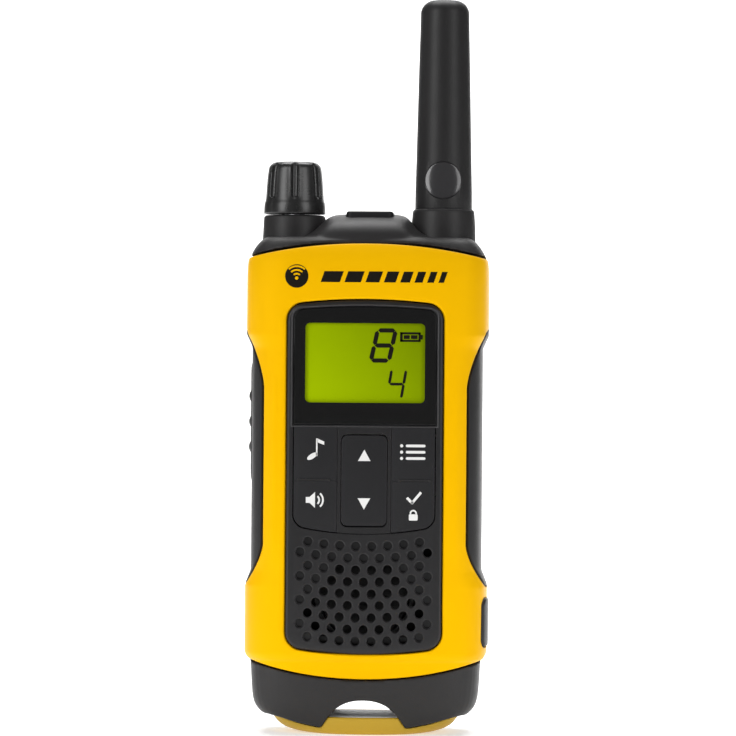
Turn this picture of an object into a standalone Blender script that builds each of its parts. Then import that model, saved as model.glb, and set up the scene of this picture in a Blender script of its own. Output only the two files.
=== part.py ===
"""A handheld two way radio, modelled piece by piece, in millimetres turned to metres.

+Z is up along the antenna, -Y is the front with the keys, and +X is to the right of someone facing it.
The origin is the middle of the flat foot under the base.
"""

import math

import bmesh
import bpy

MM = 0.001

# Driving dimensions of the whole radio
HEIGHT = 177.0
WAIST = 27.8  # half width across the side grips
BULGE = 29.2  # half width above and below them
DEPTH = 16.2  # from the middle plane to the front, and to the back
GAP = 0.3  # between two pieces that touch
SPLIT = 4.0  # plane where the front pieces end and the rear housing starts
BODY_TOP = 119.4
REAR_TOP = 112.0
SKIN = 2.0  # thickness of the yellow shell and of the grips
CORE = SKIN + GAP  # how far the housing lies under them
WALL = 1.6
CAVITY = CORE + WALL
REAR_WALL = 2.2
FLOOR = 10.4  # inside of the base, above the lanyard tunnel
SIDES = 24
FRONT_POWER = 4.2
BACK_POWER = 3.9

# Height, half width, front depth and back depth of the body, from the base up
STATIONS = (
    (1.0, 19.5, 11.9, 11.9),
    (4.2, 24.1, 13.0, 13.0),
    (5.4, 25.6, 13.3, 13.3),
    (7.0, 26.7, 13.6, 13.7),
    (9.1, 27.2, 13.9, 14.7),
    (13.0, 27.5, 14.3, 15.6),
    (17.4, 27.8, 14.8, 15.9),
    (18.2, 28.6, 15.3, 16.0),
    (19.7, BULGE, 15.8, DEPTH),
    (35.2, BULGE, DEPTH, DEPTH),
    (37.4, 28.5, DEPTH, DEPTH),
    (39.6, WAIST, DEPTH, DEPTH),
    (92.4, WAIST, DEPTH, DEPTH),
    (94.3, 28.5, DEPTH, DEPTH),
    (96.2, BULGE, DEPTH, DEPTH),
    (109.0, BULGE, 16.0, 15.9),
    (113.4, 29.0, 15.4, 15.3),
    (115.4, 28.1, 14.8, 14.6),
    (116.8, 27.3, 14.1, 13.9),
    (118.3, 26.1, 13.2, 13.0),
    (BODY_TOP, 24.6, 11.8, 11.6),
)

# Outline of the yellow shell, seen from the front
SHELL_TOP = 117.9
SHELL_TOP_DROP = 3.2
SHELL_LOW = 13.4
SHELL_LOW_RISE = 4.2
SHELL_EDGE = 27.4  # half width at which the drop and the rise are measured
SHELL_WAIST = 24.5
WAIST_LOW = 45.6
WAIST_HIGH = 83.2
WAIST_LOW_FLARE = 0.115
WAIST_HIGH_FLARE = 0.0864
OUTSIDE = 32.0  # half width that clears the whole body

# Front plate, display and keypad
PLATE_HALF = 19.07
PLATE_LOW = 19.35
PLATE_HIGH = 104.8
PLATE_FRONT = -15.8
PLATE_BACK = -14.2
PANEL_HALF = 17.1
WINDOW_LOW = 74.6
WINDOW_HIGH = 103.3
LCD_HALF = 15.9
LCD_LOW = 78.2
LCD_HIGH = 101.0
KEYS_LOW = 48.1
KEYS_HIGH = 74.0
KEYS_MIDDLE = 60.9
KEY_INNER = 6.7
KEY_FRONT = -15.9
KEY_BACK = -13.4
KEY_POST_END = -11.1
ROCKER_HALF = 5.3
ROCKER_LOW = 50.2
ROCKER_HIGH = 71.8
ROCKER_Z = (ROCKER_LOW + ROCKER_HIGH) / 2
KEY_X = 11.9
KEY_UPPER_Z = 67.0
KEY_LOWER_Z = 56.0

# Grille: rows of 8 and 9 holes that bow upwards towards the sides
HOLE_R = 1.05
HOLE_PITCH = 3.81
ROW_PITCH = 2.84
ROW_TOP = 45.3
ROW_BOW = 1.1
ROW_BOW_X = 13.3
OPEN_HOLES = {2: (3, 6), 3: (3, 7), 4: (2, 7), 5: (2, 8), 6: (1, 8), 7: (2, 8), 8: (2, 7)}
MIC_ROW = 1
MIC_COLUMN = 9

# Top: knob, button and antenna
KNOB_X = -18.1
KNOB_LOW = 125.0
KNOB_TOP = 137.7
KNOB_R = 7.4
KNOB_FLUTES = 7
ANTENNA_X = 18.0
ANTENNA_LOW = 126.7
ANTENNA_BORE = 3.9
BUTTON_LOW_X = -5.3
BUTTON_HIGH_X = 6.05
BUTTON_TOP = 125.7

# Sides
PTT_LOW = 60.4
PTT_HIGH = 89.2
PTT_FRONT = -6.2
PTT_BACK = 2.4
SIDE_KEY_Y = -1.5
SIDE_KEY_Z = 104.9
COVER_LOW = 21.2
COVER_HIGH = 32.8
COVER_FRONT = -10.0
COVER_BACK = -1.4
COVER_PROUD = 0.4
COVER_THICK = 1.6
JACK_Y = -5.7
JACK_Z = 29.9

# Speaker
SPEAKER_Z = 33.6
SPEAKER_R = 12.6

# Battery bay: three AA cells
CELL_R = 7.25
CELL_LENGTH = 50.5
CELL_PITCH = 15.1
CELL_Y = 6.1
TRAY_HALF = 20.9
TRAY_LOW = 12.1
TRAY_HIGH = 68.4
TRAY_END = 9.4  # how far back the tray's end walls reach

# Battery door and its latch
DOOR_HALF = 23.2
DOOR_LOW = 11.4
DOOR_HIGH = 68.6
DOOR_THICK = 1.8
HINGE_Z = 68.4
LATCH_HALF = 5.6
LATCH_LOW = 12.9
LATCH_HIGH = 17.7
LATCH_TRAVEL = 1.5

# Belt clip
CLIP_HALF = 7.5
CLIP_PIN_Z = 105.0
CLIP_PIN_Y = 20.4
CLIP_INNER = 20.9
CLIP_OUTER = 23.1
CLIP_FOOT = 73.0
CLIP_TOP = 114.5

SCREWS = ((-20.0, 106.0), (20.0, 106.0), (-20.0, 75.0), (20.0, 75.0))


# Shapes: each function gives (points, faces) in millimetres


def loft(rings):
    """Closed solid through rings that all have the same number of points."""
    count = len(rings[0])
    points = [point for ring in rings for point in ring]
    faces = [tuple(range(count))]
    for level in range(len(rings) - 1):
        start = level * count
        for i in range(count):
            j = (i + 1) % count
            faces.append((start + i, start + j, start + count + j, start + count + i))
    last = (len(rings) - 1) * count
    faces.append(tuple(range(last, last + count)))
    return points, faces


def prism(outline, low, high, axis="Y"):
    """An outline extruded along one axis: (x, z) along Y, (x, y) along Z, (y, z) along X."""
    place = {
        "X": lambda a, b, level: (level, a, b),
        "Y": lambda a, b, level: (a, level, b),
        "Z": lambda a, b, level: (a, b, level),
    }[axis]
    return loft([[place(a, b, level) for a, b in outline] for level in (low, high)])


def box(x, y, z):
    outline = ((x[0], y[0]), (x[1], y[0]), (x[1], y[1]), (x[0], y[1]))
    return prism(outline, z[0], z[1], "Z")


def circle(a, b, radius, count):
    turns = [2 * math.pi * (i + 0.5) / count for i in range(count)]
    return [(a + radius * math.cos(t), b + radius * math.sin(t)) for t in turns]


def rounded(a, b, radius, steps=3):
    """Rectangle from a[0] to a[1] and b[0] to b[1] with round corners, counter-clockwise."""
    centres = (
        (a[1] - radius, b[1] - radius, 0),
        (a[0] + radius, b[1] - radius, 1),
        (a[0] + radius, b[0] + radius, 2),
        (a[1] - radius, b[0] + radius, 3),
    )
    outline = []
    for centre_a, centre_b, quarter in centres:
        for step in range(steps + 1):
            turn = math.pi / 2 * (quarter + step / steps)
            outline.append((centre_a + radius * math.cos(turn), centre_b + radius * math.sin(turn)))
    return outline


def crowned(half, low, high, rise, drop, radius):
    """Rounded rectangle whose ends bow: the bottom rises and the top drops towards the sides."""
    corner = rounded((-half, half), (low, high), radius)
    steps = [half * (i / 4 - 1) for i in range(1, 8)]
    inner = [x for x in steps if abs(x) < half - radius]
    upper = corner[:4] + [(x, high) for x in reversed(inner)] + corner[4:8]
    lower = corner[8:12] + [(x, low) for x in inner] + corner[12:]
    bowed = [(x, z - drop * (x / half) ** 2) for x, z in upper]
    return bowed + [(x, z + rise * (x / half) ** 2) for x, z in lower]


def turned(profile, count, centre, axis="Z"):
    """A profile of (radius, level) turned about an axis through centre, with flat ends."""
    rings = []
    for radius, level in profile:
        flat = circle(centre[0], centre[1], radius, count)
        if axis == "Z":
            rings.append([(a, b, level) for a, b in flat])
        elif axis == "Y":
            rings.append([(a, level, b) for a, b in flat])
        else:
            rings.append([(level, a, b) for a, b in flat])
    return loft(rings)


def coil(centre, radius, wire, low, high, turns, axis="Z", steps=8, sides=5):
    """A helical wire of round section about an axis through centre."""
    count = turns * steps
    rings = []
    for i in range(count + 1):
        turn = 2 * math.pi * i / steps
        level = low + (high - low) * i / count
        ring = []
        for k in range(sides):
            around = 2 * math.pi * k / sides
            reach = radius + wire * math.cos(around)
            side = reach * math.cos(turn)
            other = reach * math.sin(turn)
            along = level + wire * math.sin(around)
            if axis == "Z":
                ring.append((centre[0] + side, centre[1] + other, along))
            else:
                ring.append((along, centre[0] + side, centre[1] + other))
        rings.append(ring)
    return loft(rings)


def body_at(z):
    """Half width, front depth and back depth of the body at a height."""
    for lower, upper in zip(STATIONS, STATIONS[1:]):
        if z <= upper[0]:
            share = (z - lower[0]) / (upper[0] - lower[0])
            return [a + share * (b - a) for a, b in zip(lower[1:], upper[1:])]
    return STATIONS[-1][1:]


def body_ring(z, inset):
    """One cross-section of the body: a rounded box, sharper at the front than at the back."""
    half, front, back = body_at(z)
    ring = []
    for i in range(SIDES):
        turn = 2 * math.pi * i / SIDES
        across = math.cos(turn)
        deep = math.sin(turn)
        power = 2 / (BACK_POWER if deep > 0 else FRONT_POWER)
        reach = (back if deep > 0 else front) - inset
        x = math.copysign(abs(across) ** power, across) * (half - inset)
        y = math.copysign(abs(deep) ** power, deep) * reach
        ring.append((x, y, z))
    return ring


def body(inset, low, high):
    """The body's solid between two heights, drawn in on all sides by inset."""
    heights = [low] + [row[0] for row in STATIONS if low < row[0] < high] + [high]
    return loft([body_ring(z, inset) for z in heights])


def shell_top(x):
    return SHELL_TOP - SHELL_TOP_DROP * (x / SHELL_EDGE) ** 2


def shell_low(x):
    return SHELL_LOW + SHELL_LOW_RISE * (x / SHELL_EDGE) ** 2


def shell_edge(z):
    """Half width of the shell's waist at a height."""
    if z > WAIST_HIGH:
        return SHELL_WAIST + WAIST_HIGH_FLARE * (z - WAIST_HIGH) ** 1.5
    if z < WAIST_LOW:
        return SHELL_WAIST + WAIST_LOW_FLARE * (WAIST_LOW - z) ** 1.5
    return SHELL_WAIST


def waist_heights():
    lower = [WAIST_LOW - 2.3 * i for i in range(6, -1, -1)]
    return lower + [WAIST_HIGH + 2.6 * i for i in range(7)]


def mirrored(half_outline):
    """The whole outline from its +X half, listed from the bottom middle to the top middle."""
    return half_outline + [(-x, z) for x, z in reversed(half_outline) if x > 0.01]


def band_outline(reach, gap, waist):
    """Front view of the yellow band between its bowed ends, with or without the waist."""
    across = [reach * i / 6 for i in range(7)]
    half = [(x, shell_low(x) + gap) for x in across]
    if waist:
        half += [(min(shell_edge(z) - gap, reach), z) for z in waist_heights()]
    half += [(x, shell_top(x) - gap) for x in reversed(across)]
    return mirrored(half)


def under_base():
    """Front view of what the base leaves free: the foot rim and the lanyard tunnel."""
    roof = [(0, 8.3), (2.3, 8.05), (4.4, 7.32), (6.2, 6.0), (7.5, 4.45), (8.6, 3.1), (9.8, 1.8)]
    edge = [(15.8, 2.8), (20.8, 4.1), (23.2, 4.6), (OUTSIDE, 4.6), (OUTSIDE, -5.0)]
    right = roof + edge
    return right + [(-x, z) for x, z in reversed(right) if x > 0.01]


def over_rim():
    """Front view of what lies above the foot rim, whose middle stands up as a bar."""
    right = [(0, 3.9), (6.8, 3.9), (7.3, 3.65), (8.5, 2.4), (9.4, 1.55), (10.2, 1.5)]
    right += [(15.8, 2.5), (20.8, 3.8), (23.2, 4.3), (OUTSIDE, 8.5), (OUTSIDE, 12.0)]
    return right + [(-x, z) for x, z in reversed(right) if x > 0.01]


def hole_place(row, column):
    """Centre of a grille hole; columns count from 1 at the left."""
    count = 9 if row % 2 else 8
    x = (column - (count + 1) / 2) * HOLE_PITCH
    return x, ROW_TOP - row * ROW_PITCH + ROW_BOW * (x / ROW_BOW_X) ** 2


# Objects and materials


def finish(name, colour, roughness, metallic=0.0):
    material = bpy.data.materials.new(name)
    material.use_nodes = True
    shader = material.node_tree.nodes["Principled BSDF"]
    shader.inputs["Base Color"].default_value = (*colour, 1.0)
    shader.inputs["Roughness"].default_value = roughness
    shader.inputs["Metallic"].default_value = metallic
    return material


def new_object(name, shape, origin):
    points, faces = shape
    shaper = bmesh.new()
    corners = []
    for point in points:
        corners.append(shaper.verts.new([(a - b) * MM for a, b in zip(point, origin)]))
    for face in faces:
        shaper.faces.new([corners[i] for i in face])
    bmesh.ops.recalc_face_normals(shaper, faces=shaper.faces)
    mesh = bpy.data.meshes.new(name)
    shaper.to_mesh(mesh)
    shaper.free()
    piece = bpy.data.objects.new(name, mesh)
    piece.location = [a * MM for a in origin]
    bpy.context.collection.objects.link(piece)
    return piece


def node(name, shape, material, origin=(0.0, 0.0, 0.0), smooth=False):
    """One sub-part, with its origin on its joint's axis where it moves."""
    piece = new_object(name, shape, origin)
    piece.data.materials.append(material)
    if smooth:
        piece.data.shade_smooth()
        piece.data.set_sharp_from_angle(angle=math.radians(35))
    return piece


def combine(piece, shape, operation):
    tool = new_object(f"tool_{len(bpy.data.objects)}", shape, (0.0, 0.0, 0.0))
    tool.hide_render = True
    tool.display_type = "WIRE"
    modifier = piece.modifiers.new(operation.lower(), "BOOLEAN")
    modifier.operation = operation
    modifier.object = tool
    modifier.solver = "EXACT"


def carve(piece, *shapes):
    for shape in shapes:
        combine(piece, shape, "DIFFERENCE")


def merge(piece, *shapes):
    for shape in shapes:
        combine(piece, shape, "UNION")


def keep(piece, *shapes):
    for shape in shapes:
        combine(piece, shape, "INTERSECT")


def rod(x, z, radius, low, high, count=10):
    """A round bar along Y."""
    return prism(circle(x, z, radius, count), low, high)


# Casing


def make_shell(yellow):
    shell = node("front_shell", body(0.0, 12.0, BODY_TOP), yellow, smooth=True)
    carve(shell, body(SKIN, 11.0, BODY_TOP + 1))
    keep(shell, prism(band_outline(OUTSIDE, 0.0, True), -30.0, SPLIT))
    carve(shell, plate_solid(GAP, -30.0, 0.0))
    carve(shell, side_key_hole(GAP), cover_hole(GAP), ptt_hole(GAP))


def make_grips(rubber):
    outline = [(shell_edge(z) + GAP, z) for z in waist_heights()]
    for name, side in (("grip_left", -1), ("grip_right", 1)):
        grip = node(name, body(0.0, 25.0, 105.0), rubber, smooth=True)
        carve(grip, body(SKIN, 24.0, 106.0))
        ends = [(OUTSIDE + 3, outline[-1][1]), (OUTSIDE + 3, outline[0][1])]
        keep(grip, prism([(side * x, z) for x, z in outline + ends], -30.0, SPLIT))
        if side < 0:
            carve(grip, ptt_hole(GAP))


def make_front_housing(black):
    """The black core: it fills the top and the base, and lies under the shell between them."""
    housing = node("front_housing", body(0.0, 1.0, BODY_TOP), black, smooth=True)
    carve(housing, prism(band_outline(OUTSIDE + 3, -GAP, False), -30.0, SPLIT + GAP))
    merge(housing, body(CORE, FLOOR - 1.0, BODY_TOP - 1.2))
    merge(housing, hump(), *collars())
    carve(housing, body(CAVITY, FLOOR, BODY_TOP - 2.1))
    carve(housing, box((-40, 40), (SPLIT, 30), (-5, REAR_TOP)))
    carve(housing, prism(under_base(), -30.0, 30.0))
    carve(housing, box((-7.2, 8.0), (-5.4, 5.4), (REAR_TOP + 1, 123.6)))
    carve(housing, button_solid(GAP, REAR_TOP + 1, 130.0))
    carve(housing, turned([(3.1, 110.0), (3.1, 130.0)], 14, (KNOB_X, 0)))
    carve(housing, turned([(4.2, 110.0), (4.2, 130.0)], 14, (ANTENNA_X, 0)))
    display = rounded((-LCD_HALF - GAP, LCD_HALF + GAP), (LCD_LOW - GAP, LCD_HIGH + GAP), 1.0)
    keys = rounded((-18.3, 18.3), (KEYS_LOW + 0.6, KEYS_HIGH + 0.3), 2.0)
    carve(housing, prism(display, -20.0, -5.0), prism(keys, -20.0, -5.0))
    carve(housing, rod(0, SPEAKER_Z, SPEAKER_R - 0.6, -20.0, -5.0, 20))
    carve(housing, rod(*hole_place(MIC_ROW, MIC_COLUMN), 2.45, -20.0, -5.0))
    carve(housing, ptt_hole(GAP), side_key_hole(GAP))
    carve(housing, box((20, 28), (-8.7, -2.7), (21.6, 25.9)))
    carve(housing, turned([(2.6, 20.0), (2.6, 28.0)], 12, (JACK_Y, JACK_Z), "X"))


def hump():
    """The raised middle of the top, between the knob and the antenna."""
    levels = (
        (117.4, -13.0, 13.8, 9.6),
        (121.0, -11.2, 12.2, 9.0),
        (123.4, -9.9, 11.0, 8.2),
        (125.0, -7.5, 8.8, 6.4),
    )
    rings = []
    for z, low_x, high_x, deep in levels:
        rings.append([(x, y, z) for x, y in rounded((low_x, high_x), (-deep, deep), 2.5)])
    return loft(rings)


def collars():
    knob = [(7.8, 116.4), (7.6, 119.4), (7.36, 124.2), (6.9, 124.7)]
    antenna = [(7.9, 116.4), (7.5, 119.4), (7.5, 125.7), (7.1, 126.4)]
    return turned(knob, 24, (KNOB_X, 0)), turned(antenna, 24, (ANTENNA_X, 0))


def make_rear_housing(black):
    housing = node("rear_housing", body(0.0, 1.0, REAR_TOP - GAP), black, smooth=True)
    carve(housing, body(REAR_WALL, FLOOR, REAR_TOP - GAP - REAR_WALL))
    carve(housing, box((-40, 40), (-30, SPLIT + GAP), (-5, 130)))
    carve(housing, prism(under_base(), -30.0, 30.0))
    for x, z in SCREWS:
        merge(housing, rod(x, z, 4.0, 8.2, 12.9))
    opening = rounded((-DOOR_HALF - GAP, DOOR_HALF + GAP), (DOOR_LOW - GAP, DOOR_HIGH + GAP), 3.0)
    carve(housing, prism(opening, 9.0, 30.0))
    for x, z in SCREWS:
        carve(housing, rod(x, z, 1.5, 5.0, 20.0, 8), rod(x, z, 2.9, 11.4, 20.0, 12))


def make_base_rim(yellow):
    """The yellow foot under the base; its middle is the bar that a lanyard goes round."""
    levels = (
        (0.0, 13.6, 10.0),
        (0.35, 16.4, 10.9),
        (1.2, 19.4, 11.6),
        (2.4, 21.2, 12.1),
        (4.6, 22.8, 12.6),
    )
    rings = []
    for z, half, deep in levels:
        ring = []
        for i in range(28):
            turn = 2 * math.pi * i / 28
            x = math.copysign(abs(math.cos(turn)) ** 0.6, math.cos(turn)) * half
            y = math.copysign(abs(math.sin(turn)) ** 0.6, math.sin(turn)) * deep
            ring.append((x, y, z))
        rings.append(ring)
    rim = node("base_rim", loft(rings), yellow)
    carve(rim, prism(over_rim(), -30.0, 30.0))


def make_seal(rubber):
    """A flat loop inside the joint between the two housings."""
    loops = []
    for inset, low, high in ((4.3, 10.7, 107.6), (5.3, 11.7, 106.6)):
        heights = [low] + [row[0] for row in STATIONS if low + 1 < row[0] < high - 1] + [high]
        right = [(body_at(z)[0] - inset, z) for z in heights]
        loops.append(right + [(-x, z) for x, z in reversed(right)])
    seal = node("housing_seal", prism(loops[0], 3.3, 4.9), rubber)
    carve(seal, prism(loops[1], 2.0, 6.0))


def make_screws(steel):
    for number, (x, z) in enumerate(SCREWS, 1):
        screw = node(f"case_screw_{number}", rod(x, z, 1.2, 5.4, 12.6, 8), steel)
        merge(screw, rod(x, z, 2.55, 11.7, 13.2, 12))
        carve(screw, box((x - 0.4, x + 0.4), (12.5, 14), (z - 1.6, z + 1.6)))


# Front plate, display and keys


def plate_solid(grow, low, high):
    outline = crowned(PLATE_HALF + grow, PLATE_LOW - grow, PLATE_HIGH + grow, 1.7, 1.15, 3.4)
    return prism(outline, low, high)


def window_solid(shrink, low, high):
    half = PANEL_HALF - shrink
    outline = crowned(half, WINDOW_LOW + shrink, WINDOW_HIGH - shrink, 0.0, 0.9, 2.0)
    return prism(outline, low, high)


def keypad_solid(shrink, low, high):
    half = PANEL_HALF - shrink
    outline = crowned(half, KEYS_LOW + shrink, KEYS_HIGH - shrink, 1.9, 0.0, 2.6)
    return prism(outline, low, high)


def rocker_solid(grow, low, high):
    half = ROCKER_HALF + grow
    return prism(rounded((-half, half), (ROCKER_LOW - grow, ROCKER_HIGH + grow), 1.6), low, high)


def make_faceplate(gloss):
    plate = node("faceplate", plate_solid(0.0, PLATE_FRONT, PLATE_BACK), gloss)
    carve(plate, window_solid(0.0, -20.0, PLATE_FRONT + 1.15))
    view = rounded((-15.3, 15.3), (79.0, 100.2), 1.0)
    carve(plate, prism(view, -20.0, -5.0))
    for side in (-1, 1):
        column = keypad_solid(0.0, -20.0, -5.0)
        points = [(max(side * x, KEY_INNER - GAP) * side, y, z) for x, y, z in column[0]]
        carve(plate, prism(column_outline(points), -20.0, -5.0))
    carve(plate, rocker_solid(GAP, -20.0, -5.0))
    for row, (first, last) in OPEN_HOLES.items():
        for column in range(first, last + 1):
            carve(plate, rod(*hole_place(row, column), HOLE_R, -20.0, -5.0, 6))
    carve(plate, rod(*hole_place(MIC_ROW, MIC_COLUMN), HOLE_R, -20.0, -5.0, 6))


def column_outline(points):
    """The (x, z) outline of a clamped ring of points, without the repeats that clamping makes."""
    outline = []
    for x, _, z in points[: len(points) // 2]:
        if not outline or math.dist(outline[-1], (x, z)) > 0.05:
            outline.append((x, z))
    straight = [place for place in outline if abs(abs(place[0]) - (KEY_INNER - GAP)) < 0.01]
    lowest = min(straight, key=lambda place: place[1])
    highest = max(straight, key=lambda place: place[1])
    return [p for p in outline if p not in straight or p in (lowest, highest)]


def make_display(glass, lcd, white):
    pane = window_solid(GAP, PLATE_FRONT + 0.15, PLATE_FRONT + 0.85)
    node("display_window", pane, glass)
    panel = rounded((-LCD_HALF, LCD_HALF), (LCD_LOW, LCD_HIGH), 0.8)
    node("lcd_panel", prism(panel, -14.0, -12.6), lcd)
    holder = rounded((-17.2, 17.2), (76.4, 102.6), 1.5)
    node("lcd_holder", prism(holder, -11.2, -9.6), white)


def make_key(name, side, low, high, rubber):
    """A corner key: its cap, a flange that keeps it in, and the post that presses its dome."""
    middle = (low + high) / 2
    key = node(name, keypad_solid(GAP, KEY_FRONT, KEY_BACK), rubber, (side * KEY_X, KEY_BACK, middle))
    reach = sorted((side * KEY_INNER, side * 20.0))
    keep(key, box(reach, (-20.0, 0.0), (low, high)))
    flange = sorted((side * 12.0, side * 17.9))
    merge(key, box(flange, (-13.9, -13.1), (middle - 3.5, middle + 3.5)))
    merge(key, rod(side * KEY_X, middle, 1.5, -13.6, KEY_POST_END, 8))


def make_keys(rubber):
    upper = (KEYS_MIDDLE + GAP / 2, KEYS_HIGH + 1)
    lower = (KEYS_LOW - 1, KEYS_MIDDLE - GAP / 2)
    make_key("key_call", -1, *upper, rubber)
    make_key("key_menu", 1, *upper, rubber)
    make_key("key_monitor", -1, *lower, rubber)
    make_key("key_select", 1, *lower, rubber)
    rocker = node("key_rocker", rocker_solid(0.0, KEY_FRONT, KEY_BACK), rubber, (0, KEY_BACK, ROCKER_Z))
    for z in (ROCKER_Z - 6.5, ROCKER_Z + 6.5):
        merge(rocker, rod(0, z, 1.5, -13.6, KEY_POST_END, 8))


def make_dome_sheet(film):
    sheet = node("dome_sheet", prism(rounded((-17, 17), (52.6, 73.0), 1.5), -9.9, -9.5), film)
    places = [(side * KEY_X, z) for side in (-1, 1) for z in (KEY_UPPER_Z + 0.6, KEY_LOWER_Z - 1.6)]
    places += [(0, ROCKER_Z - 6.5), (0, ROCKER_Z + 6.5)]
    for x, z in places:
        merge(sheet, rod(x, z, 1.8, -10.15, -9.7, 8))


# Top controls


def make_knob(black, steel, dark):
    """The volume knob with seven flutes, the shaft that it turns, and the control under the deck."""
    levels = (
        (KNOB_LOW, KNOB_R, 0.0),
        (127.3, KNOB_R, 0.0),
        (127.9, 7.15, 0.0),
        (128.7, 7.0, 0.6),
        (133.0, 6.6, 0.9),
        (136.1, 6.25, 0.8),
        (136.9, 5.9, 0.0),
        (KNOB_TOP, 4.6, 0.0),
    )
    rings = []
    for z, radius, flute in levels:
        ring = []
        for i in range(42):
            turn = 2 * math.pi * i / 42
            wave = max(0.0, math.cos(KNOB_FLUTES * (turn + math.pi / 2))) ** 1.5
            reach = radius - flute * wave
            ring.append((KNOB_X + reach * math.cos(turn), reach * math.sin(turn), z))
        rings.append(ring)
    knob = node("volume_knob", loft(rings), black, (KNOB_X, 0, KNOB_LOW), smooth=True)
    carve(knob, turned([(3.0, 120.0), (3.0, 134.5)], 14, (KNOB_X, 0)))
    shaft = turned([(2.7, 116.0), (2.7, 134.0)], 14, (KNOB_X, 0))
    node("knob_shaft", shaft, steel, (KNOB_X, 0, KNOB_LOW), smooth=True)
    node("volume_control", box((-22.0, -12.6), (-5.0, 2.6), (109.0, 115.6)), dark)


def button_solid(grow, low, high):
    across = (BUTTON_LOW_X - grow, BUTTON_HIGH_X + grow)
    return prism(rounded(across, (-4.0 - grow, 4.0 + grow), 1.2), low, high, "Z")


def make_alert_button(rubber, dark):
    button = node("alert_button", button_solid(0.0, 121.2, BUTTON_TOP), rubber, (0.38, 0, 121.2))
    merge(button, box((-6.6, 7.3), (-4.9, 4.9), (121.2, 123.0)))
    node("alert_switch", box((-2.0, 2.8), (-3.0, 3.0), (114.0, 120.1)), dark)


def make_antenna(rubber, brass, steel):
    profile = [(6.8, ANTENNA_LOW), (6.75, 131.0), (6.4, 150.0), (5.9, 172.5)]
    steps = 4
    for step in range(1, steps + 1):
        turn = math.pi / 2 * step / steps
        profile.append((2.4 + 3.5 * math.cos(turn), HEIGHT - 3.5 * (1 - math.sin(turn))))
    sheath = node("antenna_sheath", turned(profile, 28, (ANTENNA_X, 0)), rubber, smooth=True)
    carve(sheath, turned([(ANTENNA_BORE, 120.0), (ANTENNA_BORE, 169.0)], 14, (ANTENNA_X, 0)))
    foot = [(5.0, 112.0), (5.0, 115.6), (3.5, 115.9), (3.5, 132.0)]
    node("antenna_ferrule", turned(foot, 14, (ANTENNA_X, 0)), brass, smooth=True)
    node("antenna_coil", coil((ANTENNA_X, 0), 2.7, 0.55, 133.2, 167.8, 9, steps=6, sides=4), steel, smooth=True)


# Sides


def ptt_hole(grow):
    depth = (PTT_FRONT - grow, PTT_BACK + grow)
    return prism(rounded(depth, (PTT_LOW - grow, PTT_HIGH + grow), 2.6), -40.0, -15.0, "X")


def make_ptt(rubber, dark):
    outline = rounded((PTT_FRONT, PTT_BACK), (PTT_LOW, PTT_HIGH), 2.6)
    button = node("ptt_button", prism(outline, -28.0, -24.2, "X"), rubber, (-26, -2.5, 74.8))
    merge(button, box((-24.6, -22.5), (PTT_FRONT + 1, PTT_BACK - 1), (62.5, 87.1)))
    flange = (PTT_FRONT - 0.6, PTT_BACK - 1.0)
    merge(button, box((-22.9, -22.3), flange, (59.5, 90.1)))
    for z in (68.7, 74.8, 80.9):
        rib = rounded((PTT_FRONT + 1.2, PTT_BACK - 1.2), (z - 1.6, z + 1.6), 1.1)
        merge(button, prism(rib, -28.65, -27.4, "X"))
    node("ptt_switch", box((-20.9, -18.2), (-5.0, 0.0), (71.0, 79.0)), dark)


def side_key_hole(grow):
    across = (SIDE_KEY_Y - 2.2 - grow, SIDE_KEY_Y + 2.2 + grow)
    tall = (SIDE_KEY_Z - 3.7 - grow, SIDE_KEY_Z + 3.7 + grow)
    return prism(rounded(across, tall, 2.1), -40.0, -15.0, "X")


def make_side_key(rubber, dark):
    across = (SIDE_KEY_Y - 2.2, SIDE_KEY_Y + 2.2)
    tall = (SIDE_KEY_Z - 3.7, SIDE_KEY_Z + 3.7)
    outline = rounded(across, tall, 2.1)
    button = node("side_button", prism(outline, -28.8, -24.4, "X"), rubber, (-26, SIDE_KEY_Y, SIDE_KEY_Z))
    flange = (SIDE_KEY_Y - 3.2, SIDE_KEY_Y + 3.2)
    merge(button, box((-24.9, -24.2), flange, (SIDE_KEY_Z - 4.6, SIDE_KEY_Z + 3.0)))
    node("side_switch", box((-23.2, -20.8), (-4.0, 1.0), (102.4, 107.2)), dark)


def cover_hole(grow):
    depth = (COVER_FRONT - grow, COVER_BACK + grow)
    return prism(rounded(depth, (COVER_LOW - grow, COVER_HIGH + grow), 2.2), 20.0, 40.0, "X")


def make_port_cover(rubber, dark, steel):
    origin = (29.3, COVER_BACK + 0.1, (COVER_LOW + COVER_HIGH) / 2)
    cover = node("port_cover", body(-COVER_PROUD, 18.5, 36.0), rubber, origin)
    carve(cover, body(COVER_THICK - COVER_PROUD, 17.0, 37.0))
    keep(cover, cover_hole(0.0))
    socket = node("charge_socket", box((17.8, 26.4), (-8.4, -3.0), (21.9, 25.6)), steel)
    carve(socket, box((19.5, 30), (-7.6, -3.8), (22.6, 24.9)))
    jack = node("headset_jack", turned([(2.3, 16.0), (2.3, 26.4)], 12, (JACK_Y, JACK_Z), "X"), dark)
    carve(jack, turned([(1.3, 17.0), (1.3, 30.0)], 10, (JACK_Y, JACK_Z), "X"))


# Electronics


def make_board(green, steel):
    board = node("main_board", prism(rounded((-20.5, 20.5), (52.0, 112.4), 3.0), -9.2, -7.6), green)
    carve(board, rod(-16.5, 109.0, 1.3, -12, -5, 8), rod(16.5, 55.5, 1.3, -12, -5, 8))
    node("shield_can", prism(rounded((-14, 14), (78.0, 104.0), 1.5), -7.3, -4.4), steel)


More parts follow.
